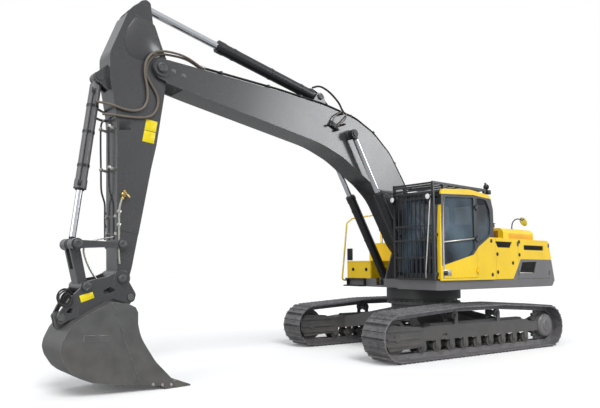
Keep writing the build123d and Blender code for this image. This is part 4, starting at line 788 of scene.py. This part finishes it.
holders, bolts = bmesh.new(), bmesh.new()
for side, lay in SIDES:
    for s, foot, top in ((1.085, 0.455, 0.584), (1.660, 0.342, 0.462)):
        rise = at(s, side * 0.150 - 0.018, (foot + top) / 2)
        join(holders, bar(0.040, 0.012, top - foot, 0.003), rise)
        join(holders, bar(0.044, 0.050, 0.034, 0.004), at(s, side * 0.150, top - 0.016))
        join(bolts, bolt(0.009), at(s, side * 0.150, top + 0.003))
    for s, t in ((2.320, 0.254), (2.560, 0.204)):
        join(holders, bar(0.044, 0.060, 0.040, 0.005), at(s, side * 0.160, t - 0.018))
        join(bolts, bolt(0.009), at(s, side * 0.160, t + 0.004))
    for s, t in ((2.250, 0.210), (2.430, 0.178)):
        join(holders, bar(0.044, 0.030, 0.060, 0.005), at(s, side * 0.211, t))
        join(bolts, bolt(0.008), at(s, side * 0.229, t, lay))
piece("arm_pipe_holders", holders, "zinc_plating", "arm", ARM_FRAME)
piece("arm_holder_bolts", bolts, "zinc_plating", "arm", ARM_FRAME)

# %% [markdown]
# A ball valve sits at the head of the side pipe, so that the coupler's line can be shut. Its body
# is turned brass with a hexagon, and a flat handle lies over it.

# %% Shut-off valve on the arm
valve = turned([(0, 0), (0.030, 0), (0.034, 0.006), (0.034, 0.026), (0.022, 0.034), (0.022, 0.062),
                (0.014, 0.066), (0, 0.066)], 20)
bmesh.ops.create_cone(valve, cap_ends=True, segments=6, radius1=0.028, radius2=0.028, depth=0.020,
                      matrix=at(0, 0, 0.048))
joined = bmesh.new()
join(joined, valve, at(2.005, 0.196, 0.190, "Y"))
join(joined, bar(0.120, 0.010, 0.026, 0.003), lean(2.000, 0.267, 0.165, "Y", 55))
for reach in (-0.052, 0.052):
    join(joined, turned([(0, 0), (0.021, 0), (0.021, 0.030), (0.016, 0.036), (0, 0.036)], 12),
         at(2.005 + reach * 0.6, 0.222, 0.190 + reach * 0.1, "X" if reach > 0 else "-X"))
piece("arm_valve", joined, "brass", "arm", ARM_FRAME)

# %% [markdown]
# Every cylinder has the same fittings: a port block at its base, a steel line along the tube to a
# second port at the gland, two band clamps round the tube, and a wiper ring where the rod comes
# out. One function draws the set in the cylinder's own frame, from its base pin outwards.

# %% Lines and bands on the cylinders
def cylinder_dress(name, frame_of, tube, gland, side, body, slot):
    """Ports, line, bands and gland ring of a cylinder. side is where the line runs, in degrees."""
    turn = Matrix.Rotation(math.radians(side), 4, "X")
    whole, bands = bmesh.new(), bmesh.new()
    ports = (0.21, gland - 0.065)
    for x in ports:
        join(whole, bar(0.075, 0.050, 0.042, 0.006), turn @ at(x, 0, tube + 0.018))
    rises = ((ports[0], 0), (0.29, 0), (0.36, 0.004), (gland * 0.5, 0.004),
             (gland - 0.20, 0.004), (gland - 0.12, 0.006), (ports[1], 0.002))
    line = [(x, 0, tube + 0.026 + rise) for x, rise in rises]
    join(whole, tubes([line], 0.0115, 5), turn)
    for x in (0.42, gland * 0.5, gland - 0.32):
        ring = turned([(tube - 0.001, -0.018), (tube + 0.006, -0.018), (tube + 0.006, 0.018),
                       (tube - 0.001, 0.018)], 40)
        join(bands, ring, at(x, 0, 0, "X"))
        join(bands, bar(0.036, 0.034, 0.030, 0.003), turn @ at(x, 0, tube + 0.014))
    end = turned([(tube * 0.62, 0), (tube + 0.008, 0), (tube + 0.008, 0.010), (tube * 0.80, 0.016),
                  (tube * 0.78, 0.030), (tube * 0.62, 0.030)], 40)
    join(bands, end, at(gland - 0.0005, 0, 0, "X"))
    for n in range(8):
        turn_bolt = Matrix.Rotation(math.radians(22.5 + 45 * n), 4, "X")
        join(bands, bolt(0.008), turn_bolt @ at(gland + 0.008, 0, tube * 0.90, "X"))
    piece(f"{name}_line", whole, "black_paint", body, frame_of)
    piece(f"{name}_bands", bands, "black_paint", body, frame_of)


CYLINDERS = [
    # name, base pin (x, y, z), slope, tube radius, gland, line side, body, slot
    ("boom_cylinder_left", (0.78, 0.385, 1.40), 57.953, 0.086, 2.02, 0,
     "boom_cylinder_tubes", "charcoal"),
    ("boom_cylinder_right", (0.78, -0.385, 1.40), 57.953, 0.086, 2.02, 0,
     "boom_cylinder_tubes", "charcoal"),
    ("arm_cylinder", (3.132726, 0, 4.86887), 11.485, 0.100, 2.245, 28,
     "arm_cylinder_tube", "charcoal"),
    ("bucket_cylinder", (7.314313, 0, 4.336009), -84.057, 0.078, 1.605, -62,
     "bucket_cylinder_tube", "grey"),
]
for name, base, slope, *others in CYLINDERS:
    cylinder_dress(name, lean(*base, "Y", -slope), *others)

# %% [markdown]
# Pins are kept from turning by a cap with three bolts. The caps, and the bright bolt heads along
# the boom's fork, show as small round marks all over the linkage.

# %% Pin caps
def pin_cap(radius):
    """A cap over a pin's end, with a rim and three bolts."""
    shape = turned([(0, 0), (radius, 0), (radius, 0.008), (radius * 0.86, 0.014),
                    (radius * 0.5, 0.014), (radius * 0.45, 0.009), (0, 0.009)], 32)
    for n in range(3):
        angle, reach = math.radians(90 + 120 * n), radius * 0.67
        join(shape, bolt(radius * 0.11),
             at(reach * math.cos(angle), reach * math.sin(angle), 0.015))
    return shape


def caps(places, radius):
    """Caps on both ends of pins: places are (x, z, how far out the end lies)."""
    shape = bmesh.new()
    for x, z, out in places:
        for side, lay in SIDES:
            join(shape, pin_cap(radius), at(x, side * out, z, lay))
    return shape


boom_caps = caps([(6.495, 0, 0.2895)], 0.075)
join(boom_caps, caps([(3.560, 1.555, 0.1345)], 0.058))
piece("boom_pin_caps", boom_caps, "iron_paint", "boom", BOOM_FRAME)
piece("house_pin_caps", caps([(0.497, 2.015, 0.3055)], 0.085), "iron_paint", "house")
piece("foot_cylinder_caps", caps([(0.78, 1.40, 0.4815)], 0.066), "iron_paint", "house")
piece("rocker_caps", caps([(2.795, 0.690, 0.2615)], 0.062), "iron_paint", "guide_links",
      ARM_FRAME)
piece("guide_caps", caps([(2.690, 0.083, 0.2555)], 0.056), "iron_paint", "guide_links",
      ARM_FRAME)
piece("coupler_caps", caps([(6.935, 1.505, 0.2695), (7.419, 1.405, 0.2655)], 0.060), "iron_paint",
      "bucket")

heads = bmesh.new()
for u, v in ((6.312, 0.063), (6.142, 0.101)):
    for side, lay in SIDES:
        join(heads, bolt(0.024), at(u, side * 0.251, v, lay))
        join(heads, turned([(0, 0), (0.040, 0), (0.040, 0.006), (0, 0.006)], 20),
             at(u, side * 0.2495, v, lay))
piece("boom_fork_bolts", heads, "grey_paint", "boom", BOOM_FRAME)

# %% [markdown]
# The quick coupler gets its blank label, black hoses that are wound round in front of it, and two
# thin grey hoses that come down from the arm. Those two cross the bucket's pin. Each side plate of
# the bucket shows a row of bolt heads.

# %% Coupler and bucket details
label = plate([(7.505, 1.289), (7.334, 1.337), (7.305, 1.257), (7.477, 1.198)], FILM, FILM_EDGE)
piece("coupler_label", label, "label_film", "bucket", at(0, 0.2398, 0))

COIL_HOSE = [(7.560, 0.170, 1.290), (7.600, 0.185, 1.345), (7.670, 0.190, 1.388),
             (7.745, 0.195, 1.360), (7.780, 0.200, 1.285), (7.755, 0.205, 1.205),
             (7.685, 0.205, 1.168), (7.618, 0.200, 1.205), (7.600, 0.190, 1.275),
             (7.640, 0.180, 1.335), (7.700, 0.172, 1.310), (7.705, 0.165, 1.235),
             (7.650, 0.160, 1.190)]
COIL_RADIUS, GREY_RADIUS, FOOT_RADIUS = 0.0125, 0.0085, 0.021
BESIDE = [(x - 0.010, y + 0.027, z - 0.018) for x, y, z in COIL_HOSE[2:]]
coil = bmesh.new()
for run in (COIL_HOSE, BESIDE):
    join(coil, tubes([run], COIL_RADIUS, 6))
piece("coupler_hoses", coil, "hose_rubber", "bucket")

GREY_HOSE = [(7.060, 0.090, 2.080), (7.160, 0.090, 2.060), (7.300, 0.090, 2.030),
             (7.420, 0.088, 1.985), (7.462, 0.086, 1.905), (7.430, 0.084, 1.785),
             (7.368, 0.082, 1.651), (7.300, 0.080, 1.545), (7.210, 0.080, 1.440),
             (7.150, 0.080, 1.370)]
for number, shift in ((1, 0.070), (2, 0.090)):
    way = [(x - 0.006 * (number - 1), y + shift, z) for x, y, z in GREY_HOSE]
    hose = piece(f"grey_hose_{number}", tubes([way], GREY_RADIUS, 6), "zinc_plating", None)
    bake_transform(hose)

BUCKET_MOUTH, MOUTH_HALF, TAPER = 6.150, 0.560, 0.1087
bolts = bmesh.new()
for x, z in ((6.557, 0.079), (6.424, 0.062), (6.300, 0.052)):
    half = MOUTH_HALF - TAPER * (x - BUCKET_MOUTH)
    for side, lay in SIDES:
        join(bolts, bolt(0.017), at(x, side * (half + 0.007), z, lay))
piece("bucket_edge_bolts", bolts, "zinc_plating", "bucket")

# %% [markdown]
# A door's vent is a hole with slats in it. The CAD has the pocket, in the door's own yellow. A dark
# back goes into it as painted shade, for the shade deep in the hole, and slanted slats go in front
# of it. Both ride on the door so that they swing with it. One function fills any pocket, given its
# outline and the level of its floor.

# %% Vents in the doors
SLAT_LIFT, SLAT_TURN = 0.007, 35


def slats(corners, floor, step):
    """Slanted slats across a pocket, each cut to the pocket's width at its height."""
    shape = bmesh.new()
    low = min(z for x, z in corners)
    high = max(z for x, z in corners)
    count = int((high - low) / step)
    for n in range(count):
        z = low + (n + 0.5) * (high - low) / count
        xs = []
        for (x0, z0), (x1, z1) in zip(corners, corners[1:] + corners[:1]):
            if (z0 - z) * (z1 - z) < 0:
                xs.append(x0 + (x1 - x0) * (z - z0) / (z1 - z0))
        length = max(xs) - min(xs) - 0.012
        middle = (max(xs) + min(xs)) / 2
        join(shape, bar(length, 0.012, 0.003, 0.001),
             lean(middle, floor + SLAT_LIFT, z, "X", SLAT_TURN))
    return shape


def shrink(corners, by):
    """An outline drawn in towards its middle."""
    a = sum(x for x, z in corners) / len(corners)
    b = sum(z for x, z in corners) / len(corners)
    wide = max(abs(x - a) for x, z in corners)
    tall = max(abs(z - b) for x, z in corners)
    return [(a + (x - a) * (1 - by / wide), b + (z - b) * (1 - by / tall)) for x, z in corners]


VENTS = {
    # name: (corners, level of the floor, body, step)
    "rear_door_slot": ([(-2.548, 2.058), (-1.678, 2.058), (-1.672, 2.166), (-2.554, 2.166)],
                       1.440, "left_rear_door", 0.018),
    "rear_door_recess": ([(-2.098, 1.550), (-1.475, 1.556), (-1.586, 1.792), (-2.219, 1.805)],
                         1.438, "left_rear_door", 0.024),
    "front_door_vent": ([(-1.102, 2.087), (-0.621, 2.087), (-0.523, 2.218), (-1.200, 2.218)],
                        1.444, "left_front_door", 0.020),
}
# Each dark back is painted shade for the depth of the vent.
for name, (corners, floor, body, step) in VENTS.items():
    back = plate(shrink(corners, 0.006), FILM, FILM_EDGE)
    piece(f"{name}_back", back, "painted_shade_black", body, at(0, floor, 0))
    piece(f"{name}_slats", slats(corners, floor, step), "black_plastic", body)
# Dark strips in the right door's slots: painted shade.
backs = bmesh.new()
for n in range(5):
    z = 1.960 + 0.052 * n
    join(backs, plate([(-2.346, z + 0.002), (-1.854, z + 0.002), (-1.854, z + 0.022),
                       (-2.346, z + 0.022)], FILM, FILM_EDGE), at(0, -1.4475, 0))
piece("right_door_vent_painted_shade", backs, "painted_shade_black", "right_door")
piece("rear_door_ledge", bar(0.560, 0.012, 0.016, 0.003), "zinc_plating", "left_rear_door",
      lean(-1.775, 1.4455, 1.562, "Y", -0.5))

# %% [markdown]
# Doors need hinges and latches. The latch is a round lock in a dish with a paddle over it. The
# hinge is a knuckle of three barrels on two leaves.

# %% Latches and hinges of the house
def latch():
    """A paddle latch in its dish, looking along Z."""
    shape = turned([(0, 0.001), (0.030, 0.001), (0.034, 0.006), (0.038, 0.006), (0.040, 0),
                    (0, 0)], 24)
    join(shape, bar(0.060, 0.022, 0.010, 0.003), at(0, 0, 0.008))
    return shape


def hinge():
    """Three barrels and two leaves, upright along Z."""
    shape = turned([(0, -0.05), (0.009, -0.05), (0.009, -0.018), (0.008, -0.017), (0.008, -0.016),
                    (0.009, -0.015), (0.009, 0.015), (0.008, 0.016), (0.008, 0.017), (0.009, 0.018),
                    (0.009, 0.05), (0, 0.05)], 14)
    join(shape, bar(0.070, 0.004, 0.090, 0.001), at(0.002, -0.005, 0))
    return shape


LATCHES = [
    # name, body, lay, turn, places
    ("left_front_latches", "left_front_door", "Y", 90,
     ((-0.600, 1.460, 1.580), (-0.600, 1.460, 1.950), (-1.202, 1.460, 1.770))),
    ("left_rear_latches", "left_rear_door", "Y", 90,
     ((-1.480, 1.460, 1.950), (-1.480, 1.460, 2.230))),
    ("right_latches", "right_door", "-Y", 90,
     ((-1.480, -1.460, 1.580), (-1.480, -1.460, 2.080))),
    ("cab_panel_locks", "house", "Y", 0, ((-0.313, 1.500, 2.212), (-0.330, 1.500, 1.530))),
    ("toolbox_latches", "house", "X", 0, ((0.926, -1.220, 1.620), (0.926, -0.820, 1.620))),
]
for name, body, lay, turn, places in LATCHES:
    shape = bmesh.new()
    for spot in places:
        join(shape, latch(), at(*spot, lay, turn))
    piece(name, shape, "black_plastic", body)
shape = bmesh.new()
for x, side in ((-1.425, 1), (-2.790, 1), (-2.790, -1)):
    for z in (1.560, 2.180):
        join(shape, hinge(), Matrix.Scale(side, 4, (0, 1, 0)) @ at(x, 1.4665, z))
piece("door_hinges", shape, "iron_paint", "house")

# %% [markdown]
# The raised hood breathes through a grille in front and through louvres on its side. The grille is
# painted brown: painted shade for the hood's shaded front. The louvres are pressed out of the
# yellow sheet, and their darker, browner yellow is painted shade between the slats. On top stands a
# round mirror on a bent stalk, which lets the operator see the corner behind the machine.

# %% Hood
# The brown grille colour is painted shade.
grille = bmesh.new()
join(grille, bar(0.006, 0.900, 0.170, 0.002), at(-1.4035, 0.560, 2.410))
for n in range(22):
    join(grille, bar(0.010, 0.008, 0.160, 0.002), at(-1.399, 0.140 + 0.040 * n, 2.410))
piece("hood_front_grille", grille, "hood_grille_painted_shade", "engine_hood")
# The darker louvre colour is painted shade.
louvres = bmesh.new()
for n in range(19):
    for side, y in ((1, 1.144), (-1, -1.084)):
        join(louvres, bar(0.040, 0.010, 0.110, 0.004),
             lean(-2.640 + 0.056 * n, y, 2.385, "Z", -22 * side))
piece("hood_louvres", louvres, "louvre_painted_shade", "engine_hood")

stalk = tubes([[(-2.190, 0.900, 2.548), (-2.195, 0.900, 2.690), (-2.340, 0.900, 2.800),
                (-2.540, 0.900, 2.830), (-2.700, 0.900, 2.800)]], 0.014, 6)
join(stalk, turned([(0, 0), (0.050, 0), (0.050, 0.010), (0.020, 0.026), (0, 0.026)], 20),
     at(-2.190, 0.900, 2.549))
piece("hood_mirror_stalk", stalk, "black_paint", "engine_hood")


def round_mirror(radius):
    """The back shell of a round mirror, domed, and its glass. Both look along Z."""
    dome = [(0, -0.34), (0.45, -0.30), (0.85, -0.14), (1, 0.02), (0.96, 0.06), (0.92, 0), (0, 0)]
    shell = turned([(radius * out, radius * up) for out, up in dome], 32)
    glass = turned([(0, 0.020), (radius * 0.6, 0.014), (radius * 0.915, 0.002)], 32)
    return shell, glass


shell, glass = round_mirror(0.115)
facing = (at(-2.733, 0.900, 2.768) @ Matrix.Rotation(math.radians(-20), 4, "Z")
          @ Matrix.Rotation(math.radians(24), 4, "Y") @ LAYS["X"])
back = bmesh.new()
join(back, shell, facing)
piece("hood_mirror_shell", back, "yellow_paint", "engine_hood")
piece("hood_mirror_glass", glass, "mirror_glass", "engine_hood", facing)

# %% [markdown]
# The air intake is a stack of rings under a lid. The fuel filler has a ribbed cap. The places
# where somebody walks are covered with black grit mats, 4 mm thick.

# %% Intake, caps and walkways
rings = turned([(0.0785, 0.252), (0.092, 0.256), (0.092, 0.264), (0.080, 0.268), (0.080, 0.276),
                (0.092, 0.280), (0.092, 0.288), (0.080, 0.292), (0.080, 0.300), (0.092, 0.304),
                (0.092, 0.312), (0.0785, 0.316)], 36)
join(rings, turned([(0, 0.350), (0.060, 0.352), (0.104, 0.344), (0.108, 0.336), (0.098, 0.332),
                    (0.0785, 0.330)], 36))
join(rings, turned([(0.0525, 0.060), (0.060, 0.060), (0.060, 0.078), (0.0525, 0.078)], 30))
piece("intake_rings", rings, "black_plastic", "house", at(-1.060, 1.040, 2.290))

cap = turned([(0, 0.0605), (0.050, 0.0605), (0.062, 0.056), (0.0665, 0.048), (0.0665, 0.010),
              (0.0605, 0.006)], 36)
for n in range(18):
    join(cap, bar(0.006, 0.010, 0.032, 0.001), at(0, 0, 0, "Z", 20 * n) @ at(0.067, 0, 0.030))
join(cap, bar(0.080, 0.014, 0.010, 0.003), at(0, 0, 0.064))
piece("fuel_cap", cap, "black_plastic", "house", at(-0.100, -1.000, 2.230))

MAT = 0.004
MATS = {
    # name: (corners, level, body)
    "toolbox_mat": ([(0.300, -1.390), (0.840, -1.390), (0.880, -1.340), (0.880, -0.770),
                     (0.850, -0.750), (0.300, -0.750)], 1.8103, "toolbox_lid"),
    "fuel_tank_mat_rear": ([(-0.580, -1.390), (-0.210, -1.390), (-0.210, -0.630),
                            (-0.580, -0.630)], 2.2300, "house"),
    "fuel_tank_mat_front": ([(0.010, -1.330), (0.100, -1.330), (0.100, -0.630),
                             (0.010, -0.630)], 2.2300, "house"),
    "hydraulic_tank_mat": ([(-1.330, -1.390), (-0.720, -1.390), (-0.720, -0.630),
                            (-1.330, -0.630)], 2.2900, "house"),
    "deck_mat": ([(-0.930, 0.400), (-0.480, 0.400), (-0.480, 1.360), (-0.930, 1.360)],
                 2.2900, "house"),
}
for name, (corners, level, body) in MATS.items():
    piece(name, plate(corners, MAT, 0.0012), "walkway_grit", body,
          lean(0, 0, level, "X", 90))

# %% [markdown]
# Small things hang on the cab: two work lamps on the guard, a lamp and a black box at the back
# of the roof, and a slim bright rail that runs down the guard. The door has a handle plate, black
# in front and pale behind, and a pale strip where its two panes meet.

# %% Cab details
def work_lamp():
    """A round lamp that looks along Z: its housing and its glass."""
    housing = turned([(0, -0.070), (0.030, -0.066), (0.050, -0.040), (0.058, -0.006),
                      (0.060, 0.004), (0.054, 0.004), (0.051, -0.004), (0, -0.004)], 28)
    join(housing, bar(0.020, 0.075, 0.050, 0.003), at(0, -0.050, -0.035))
    return housing, turned([(0, 0.006), (0.030, 0.004), (0.051, -0.003)], 28)


housings, lenses = bmesh.new(), bmesh.new()
for y in (1.410, 0.560):
    housing, lens = work_lamp()
    place = at(1.640, y, 2.980, "X", 90)
    join(housings, housing, place)
    join(lenses, lens, place)
piece("work_lamp_housings", housings, "black_plastic", "house")
piece("work_lamp_lenses", lenses, "lamp_lens", "house")

rail = tubes([[(1.562, 1.425, 3.020), (1.578, 1.425, 2.960), (1.578, 1.400, 2.700),
               (1.578, 1.330, 1.900), (1.578, 1.295, 1.560), (1.562, 1.290, 1.480)]], 0.012, 8)
piece("guard_rail", rail, "zinc_plating", "house")
piece("roof_box", bar(0.110, 0.080, 0.090, 0.014), "black_plastic", "house",
      at(-0.370, 1.430, 3.225))
housing, lens = work_lamp()
place = at(-0.330, 1.420, 3.330, "-X", 90)
roof_lamp = bmesh.new()
join(roof_lamp, housing, place)
piece("roof_lamp_housing", roof_lamp, "black_plastic", "house")
piece("roof_lamp_lens", lens, "lamp_lens", "house", place)

dish = plate([(1.075, 1.515), (1.325, 1.515), (1.325, 1.625), (1.075, 1.625)], 0.004, 0.0015)
piece("door_handle_plate", dish, "zinc_plating", "cab_door", at(0, 1.500, 0))
grip = plate([(1.195, 1.525), (1.318, 1.525), (1.318, 1.615), (1.195, 1.615)], 0.003, 0.001)
join(grip, bar(0.100, 0.016, 0.026, 0.006), at(1.255, 0.014, 1.572))
piece("door_handle", grip, "black_plastic", "cab_door", at(0, 1.504, 0))
piece("door_mid_strip", bar(0.990, 0.006, 0.020, 0.002), "zinc_plating", "cab_door",
      lean(0.785, 1.5035, 2.192, "Y", 5.54))

# %% [markdown]
# On the right stand a flat mirror on the handrail and a small round one on a thin post above the
# fuel tank.

# %% Right side
mirror = bar(0.030, 0.160, 0.270, 0.012)
for up in (0.070, -0.070):
    join(mirror, bar(0.050, 0.030, 0.030, 0.004), at(0, -0.035, up))
piece("rail_mirror_shell", mirror, "black_plastic", "house", at(0.925, -1.320, 1.955))
piece("rail_mirror_glass", bar(0.003, 0.140, 0.250, 0.001), "mirror_glass", "house",
      at(0.909, -1.320, 1.955))
post = tubes([[(0.130, -1.050, 2.228), (0.130, -1.050, 2.330), (0.132, -1.050, 2.440),
               (0.150, -1.050, 2.505)]], 0.009, 6)
join(post, turned([(0, 0), (0.024, 0), (0.024, 0.008), (0, 0.010)], 16), at(0.130, -1.050, 2.230))
piece("tank_mirror_post", post, "black_paint", "house")
shell, glass = round_mirror(0.075)
facing = at(0.165, -1.050, 2.560, "X")
back = bmesh.new()
join(back, shell, facing)
piece("tank_mirror_shell", back, "black_plastic", "house")
piece("tank_mirror_glass", glass, "mirror_glass", "house", facing)

# %% [markdown]
# Halfway up the boom a small block of pipe valves sits on its left side, with short hoses that
# reach up to the top. Near the boom's foot two fat pairs of hoses bow up from the deck to the
# pipes on the ridge. They cross the foot pin.

# %% Boom valve block and foot hoses
block = bmesh.new()
for u, v in ((3.275, 1.062), (3.059, 1.087), (2.959, 1.274), (3.079, 1.440)):
    join(block, fitting(FITTING), at(u, 0.262, v, "Y"))
join(block, bar(0.200, 0.050, 0.090, 0.006), at(3.160, 0.277, 1.130))
for u in (3.100, 3.220):
    join(block, bolt(0.014), at(u, 0.302, 1.130, "Y"))
piece("boom_valve_block", block, "black_plastic", "boom", BOOM_FRAME)
loops = tubes([[(3.230, 0.290, 1.160), (3.240, 0.300, 1.240), (3.180, 0.300, 1.370),
                (3.110, 0.290, 1.460), (3.060, 0.230, 1.530)],
               [(3.090, 0.290, 1.160), (3.060, 0.300, 1.220), (2.990, 0.300, 1.330),
                (2.950, 0.290, 1.450), (2.930, 0.230, 1.560)]], 0.013, 6)
piece("boom_valve_hoses", loops, "brown_hose", "boom", BOOM_FRAME)

for number, y in ((1, 0.150), (2, 0.090), (3, -0.090), (4, -0.150)):
    way = [(-0.420, y * 1.3, 1.880), (-0.360, y * 1.3, 2.050), (-0.230, y * 1.2, 2.330),
           (-0.020, y * 1.1, 2.600), (0.200, y, 2.760), (0.400, y, 2.800), (0.533, y, 2.780),
           (0.640, y, 2.830)]
    hose = piece(f"foot_hose_{number}", tubes([way], FOOT_RADIUS, 7), "hose_rubber", None)
    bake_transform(hose)

# %% [markdown]
# A crawler's running gear is held by rows of heavy bolts: four heads on every shoe, and rings of
# them on the final drives, the idlers and the slewing ring. There are hundreds, so each has only
# a few faces. The tracks stand turned a little against the house, and have their own frame.

# %% Bolts of the running gear
TURN = Matrix.Rotation(math.radians(-6.8), 4, "Z")
TRACK_Y, AXLE_X, AXLE_Z = 1.320, 2.160, 0.440


def head(radius, height):
    """A six-sided bolt head, kept light, on its seat."""
    shape = bmesh.new()
    bmesh.ops.create_cone(shape, cap_ends=True, segments=6, radius1=radius, radius2=radius * 0.9,
                          depth=height, matrix=at(0, 0, height / 2))
    return shape


def ring(shape, count, radius, bolt_radius, height, place, phase=0.0):
    """A circle of bolt heads, about the place's own Z."""
    for n in range(count):
        angle = 2 * math.pi * n / count + phase
        spot = at(radius * math.cos(angle), radius * math.sin(angle), 0)
        join(shape, head(bolt_radius, height), place @ spot)


DRIVE_RINGS = [
    # count, radius, bolt radius, height, how far the face stands out of the track's middle
    (8, 0.075, 0.011, 0.010, 0.1955), (3, 0.030, 0.010, 0.008, 0.1955),
    (20, 0.205, 0.012, 0.012, 0.1745),
]
drive, idle, slew = bmesh.new(), bmesh.new(), bmesh.new()
for side, lay in SIDES:
    for *sizes, out in DRIVE_RINGS:
        ring(drive, *sizes, at(-AXLE_X, side * (TRACK_Y + out), AXLE_Z, lay))
    ring(idle, 6, 0.055, 0.010, 0.010, at(AXLE_X, side * (TRACK_Y + 0.1855), AXLE_Z, lay))
ring(slew, 36, 0.735, 0.017, 0.022, at(0, 0, 0.9495), 0.05)
piece("final_drive_bolts", drive, "grey_paint", "undercarriage", TURN)
piece("slewing_ring_bolts", slew, "iron_paint", "undercarriage", TURN)
piece("idler_cap_bolts", idle, "iron_paint", "undercarriage", TURN)

# %% [markdown]
# Each shoe is bolted to its chain with four heads. Their places follow the loop: straight on the
# ground, round the idler and the sprocket, and over the carrier rollers.

# %% Shoe bolts
SHOES, CARRIER_X, CARRIER_RISE = 51, 0.62, 0.09
BEND_RADIUS, PLATE_OUT = 0.304 + 0.048, 0.414
BOLT_SHARES, BOLT_Y = (0.34, 0.66), 0.105
TILT = math.atan2(CARRIER_RISE, AXLE_X - CARRIER_X)
BEND = BEND_RADIUS * (math.pi - TILT)
SLOPE = (AXLE_X - CARRIER_X) / math.cos(TILT)
CARRIER_Z = AXLE_Z + CARRIER_RISE
STRETCHES = [
    # length, centre (x, z), direction of its outer side, how far it turns
    (2 * AXLE_X, (-AXLE_X, AXLE_Z), -math.pi / 2, 0),
    (BEND, (AXLE_X, AXLE_Z), -math.pi / 2, math.pi - TILT),
    (SLOPE, (AXLE_X, AXLE_Z), math.pi / 2 - TILT, 0),
    (2 * CARRIER_X, (CARRIER_X, CARRIER_Z), math.pi / 2, 0),
    (SLOPE, (-CARRIER_X, CARRIER_Z), math.pi / 2 + TILT, 0),
    (BEND, (-AXLE_X, AXLE_Z), math.pi / 2 + TILT, math.pi - TILT),
]
LOOP = sum(stretch[0] for stretch in STRETCHES)


def on_loop(share):
    """A place on the shoe plates, with Z outward. The share runs round the loop from 0 to 1."""
    station = share * LOOP
    for length, centre, direction, turning in STRETCHES:
        if station <= length:
            break
        station -= length
    angle = direction + turning * station / length
    out = Vector((math.cos(angle), 0, math.sin(angle)))
    ahead = Vector((-out.z, 0, out.x))
    spot = Vector((centre[0], 0, centre[1])) + out * PLATE_OUT
    if not turning:
        spot += ahead * station
    stand = Matrix((-ahead, Vector((0, 1, 0)), out)).transposed().to_4x4()
    return Matrix.Translation(spot) @ stand


for side, name in ((1, "left"), (-1, "right")):
    heads = bmesh.new()
    for shoe in range(SHOES):
        for share in BOLT_SHARES:
            place = on_loop((shoe + share) / SHOES)
            for y in (-BOLT_Y, BOLT_Y):
                join(heads, head(0.014, 0.011), at(0, side * TRACK_Y + y, 0) @ place)
    piece(f"shoe_bolts_{name}", heads, "iron_paint", "undercarriage", TURN)

# %% Sizes
boxes = {"cad": cad_box, "visual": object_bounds()}
sizes = {name: [[round(float(v), 5) for v in corner] for corner in box]
         for name, box in boxes.items()}
print("sizes:", sizes)
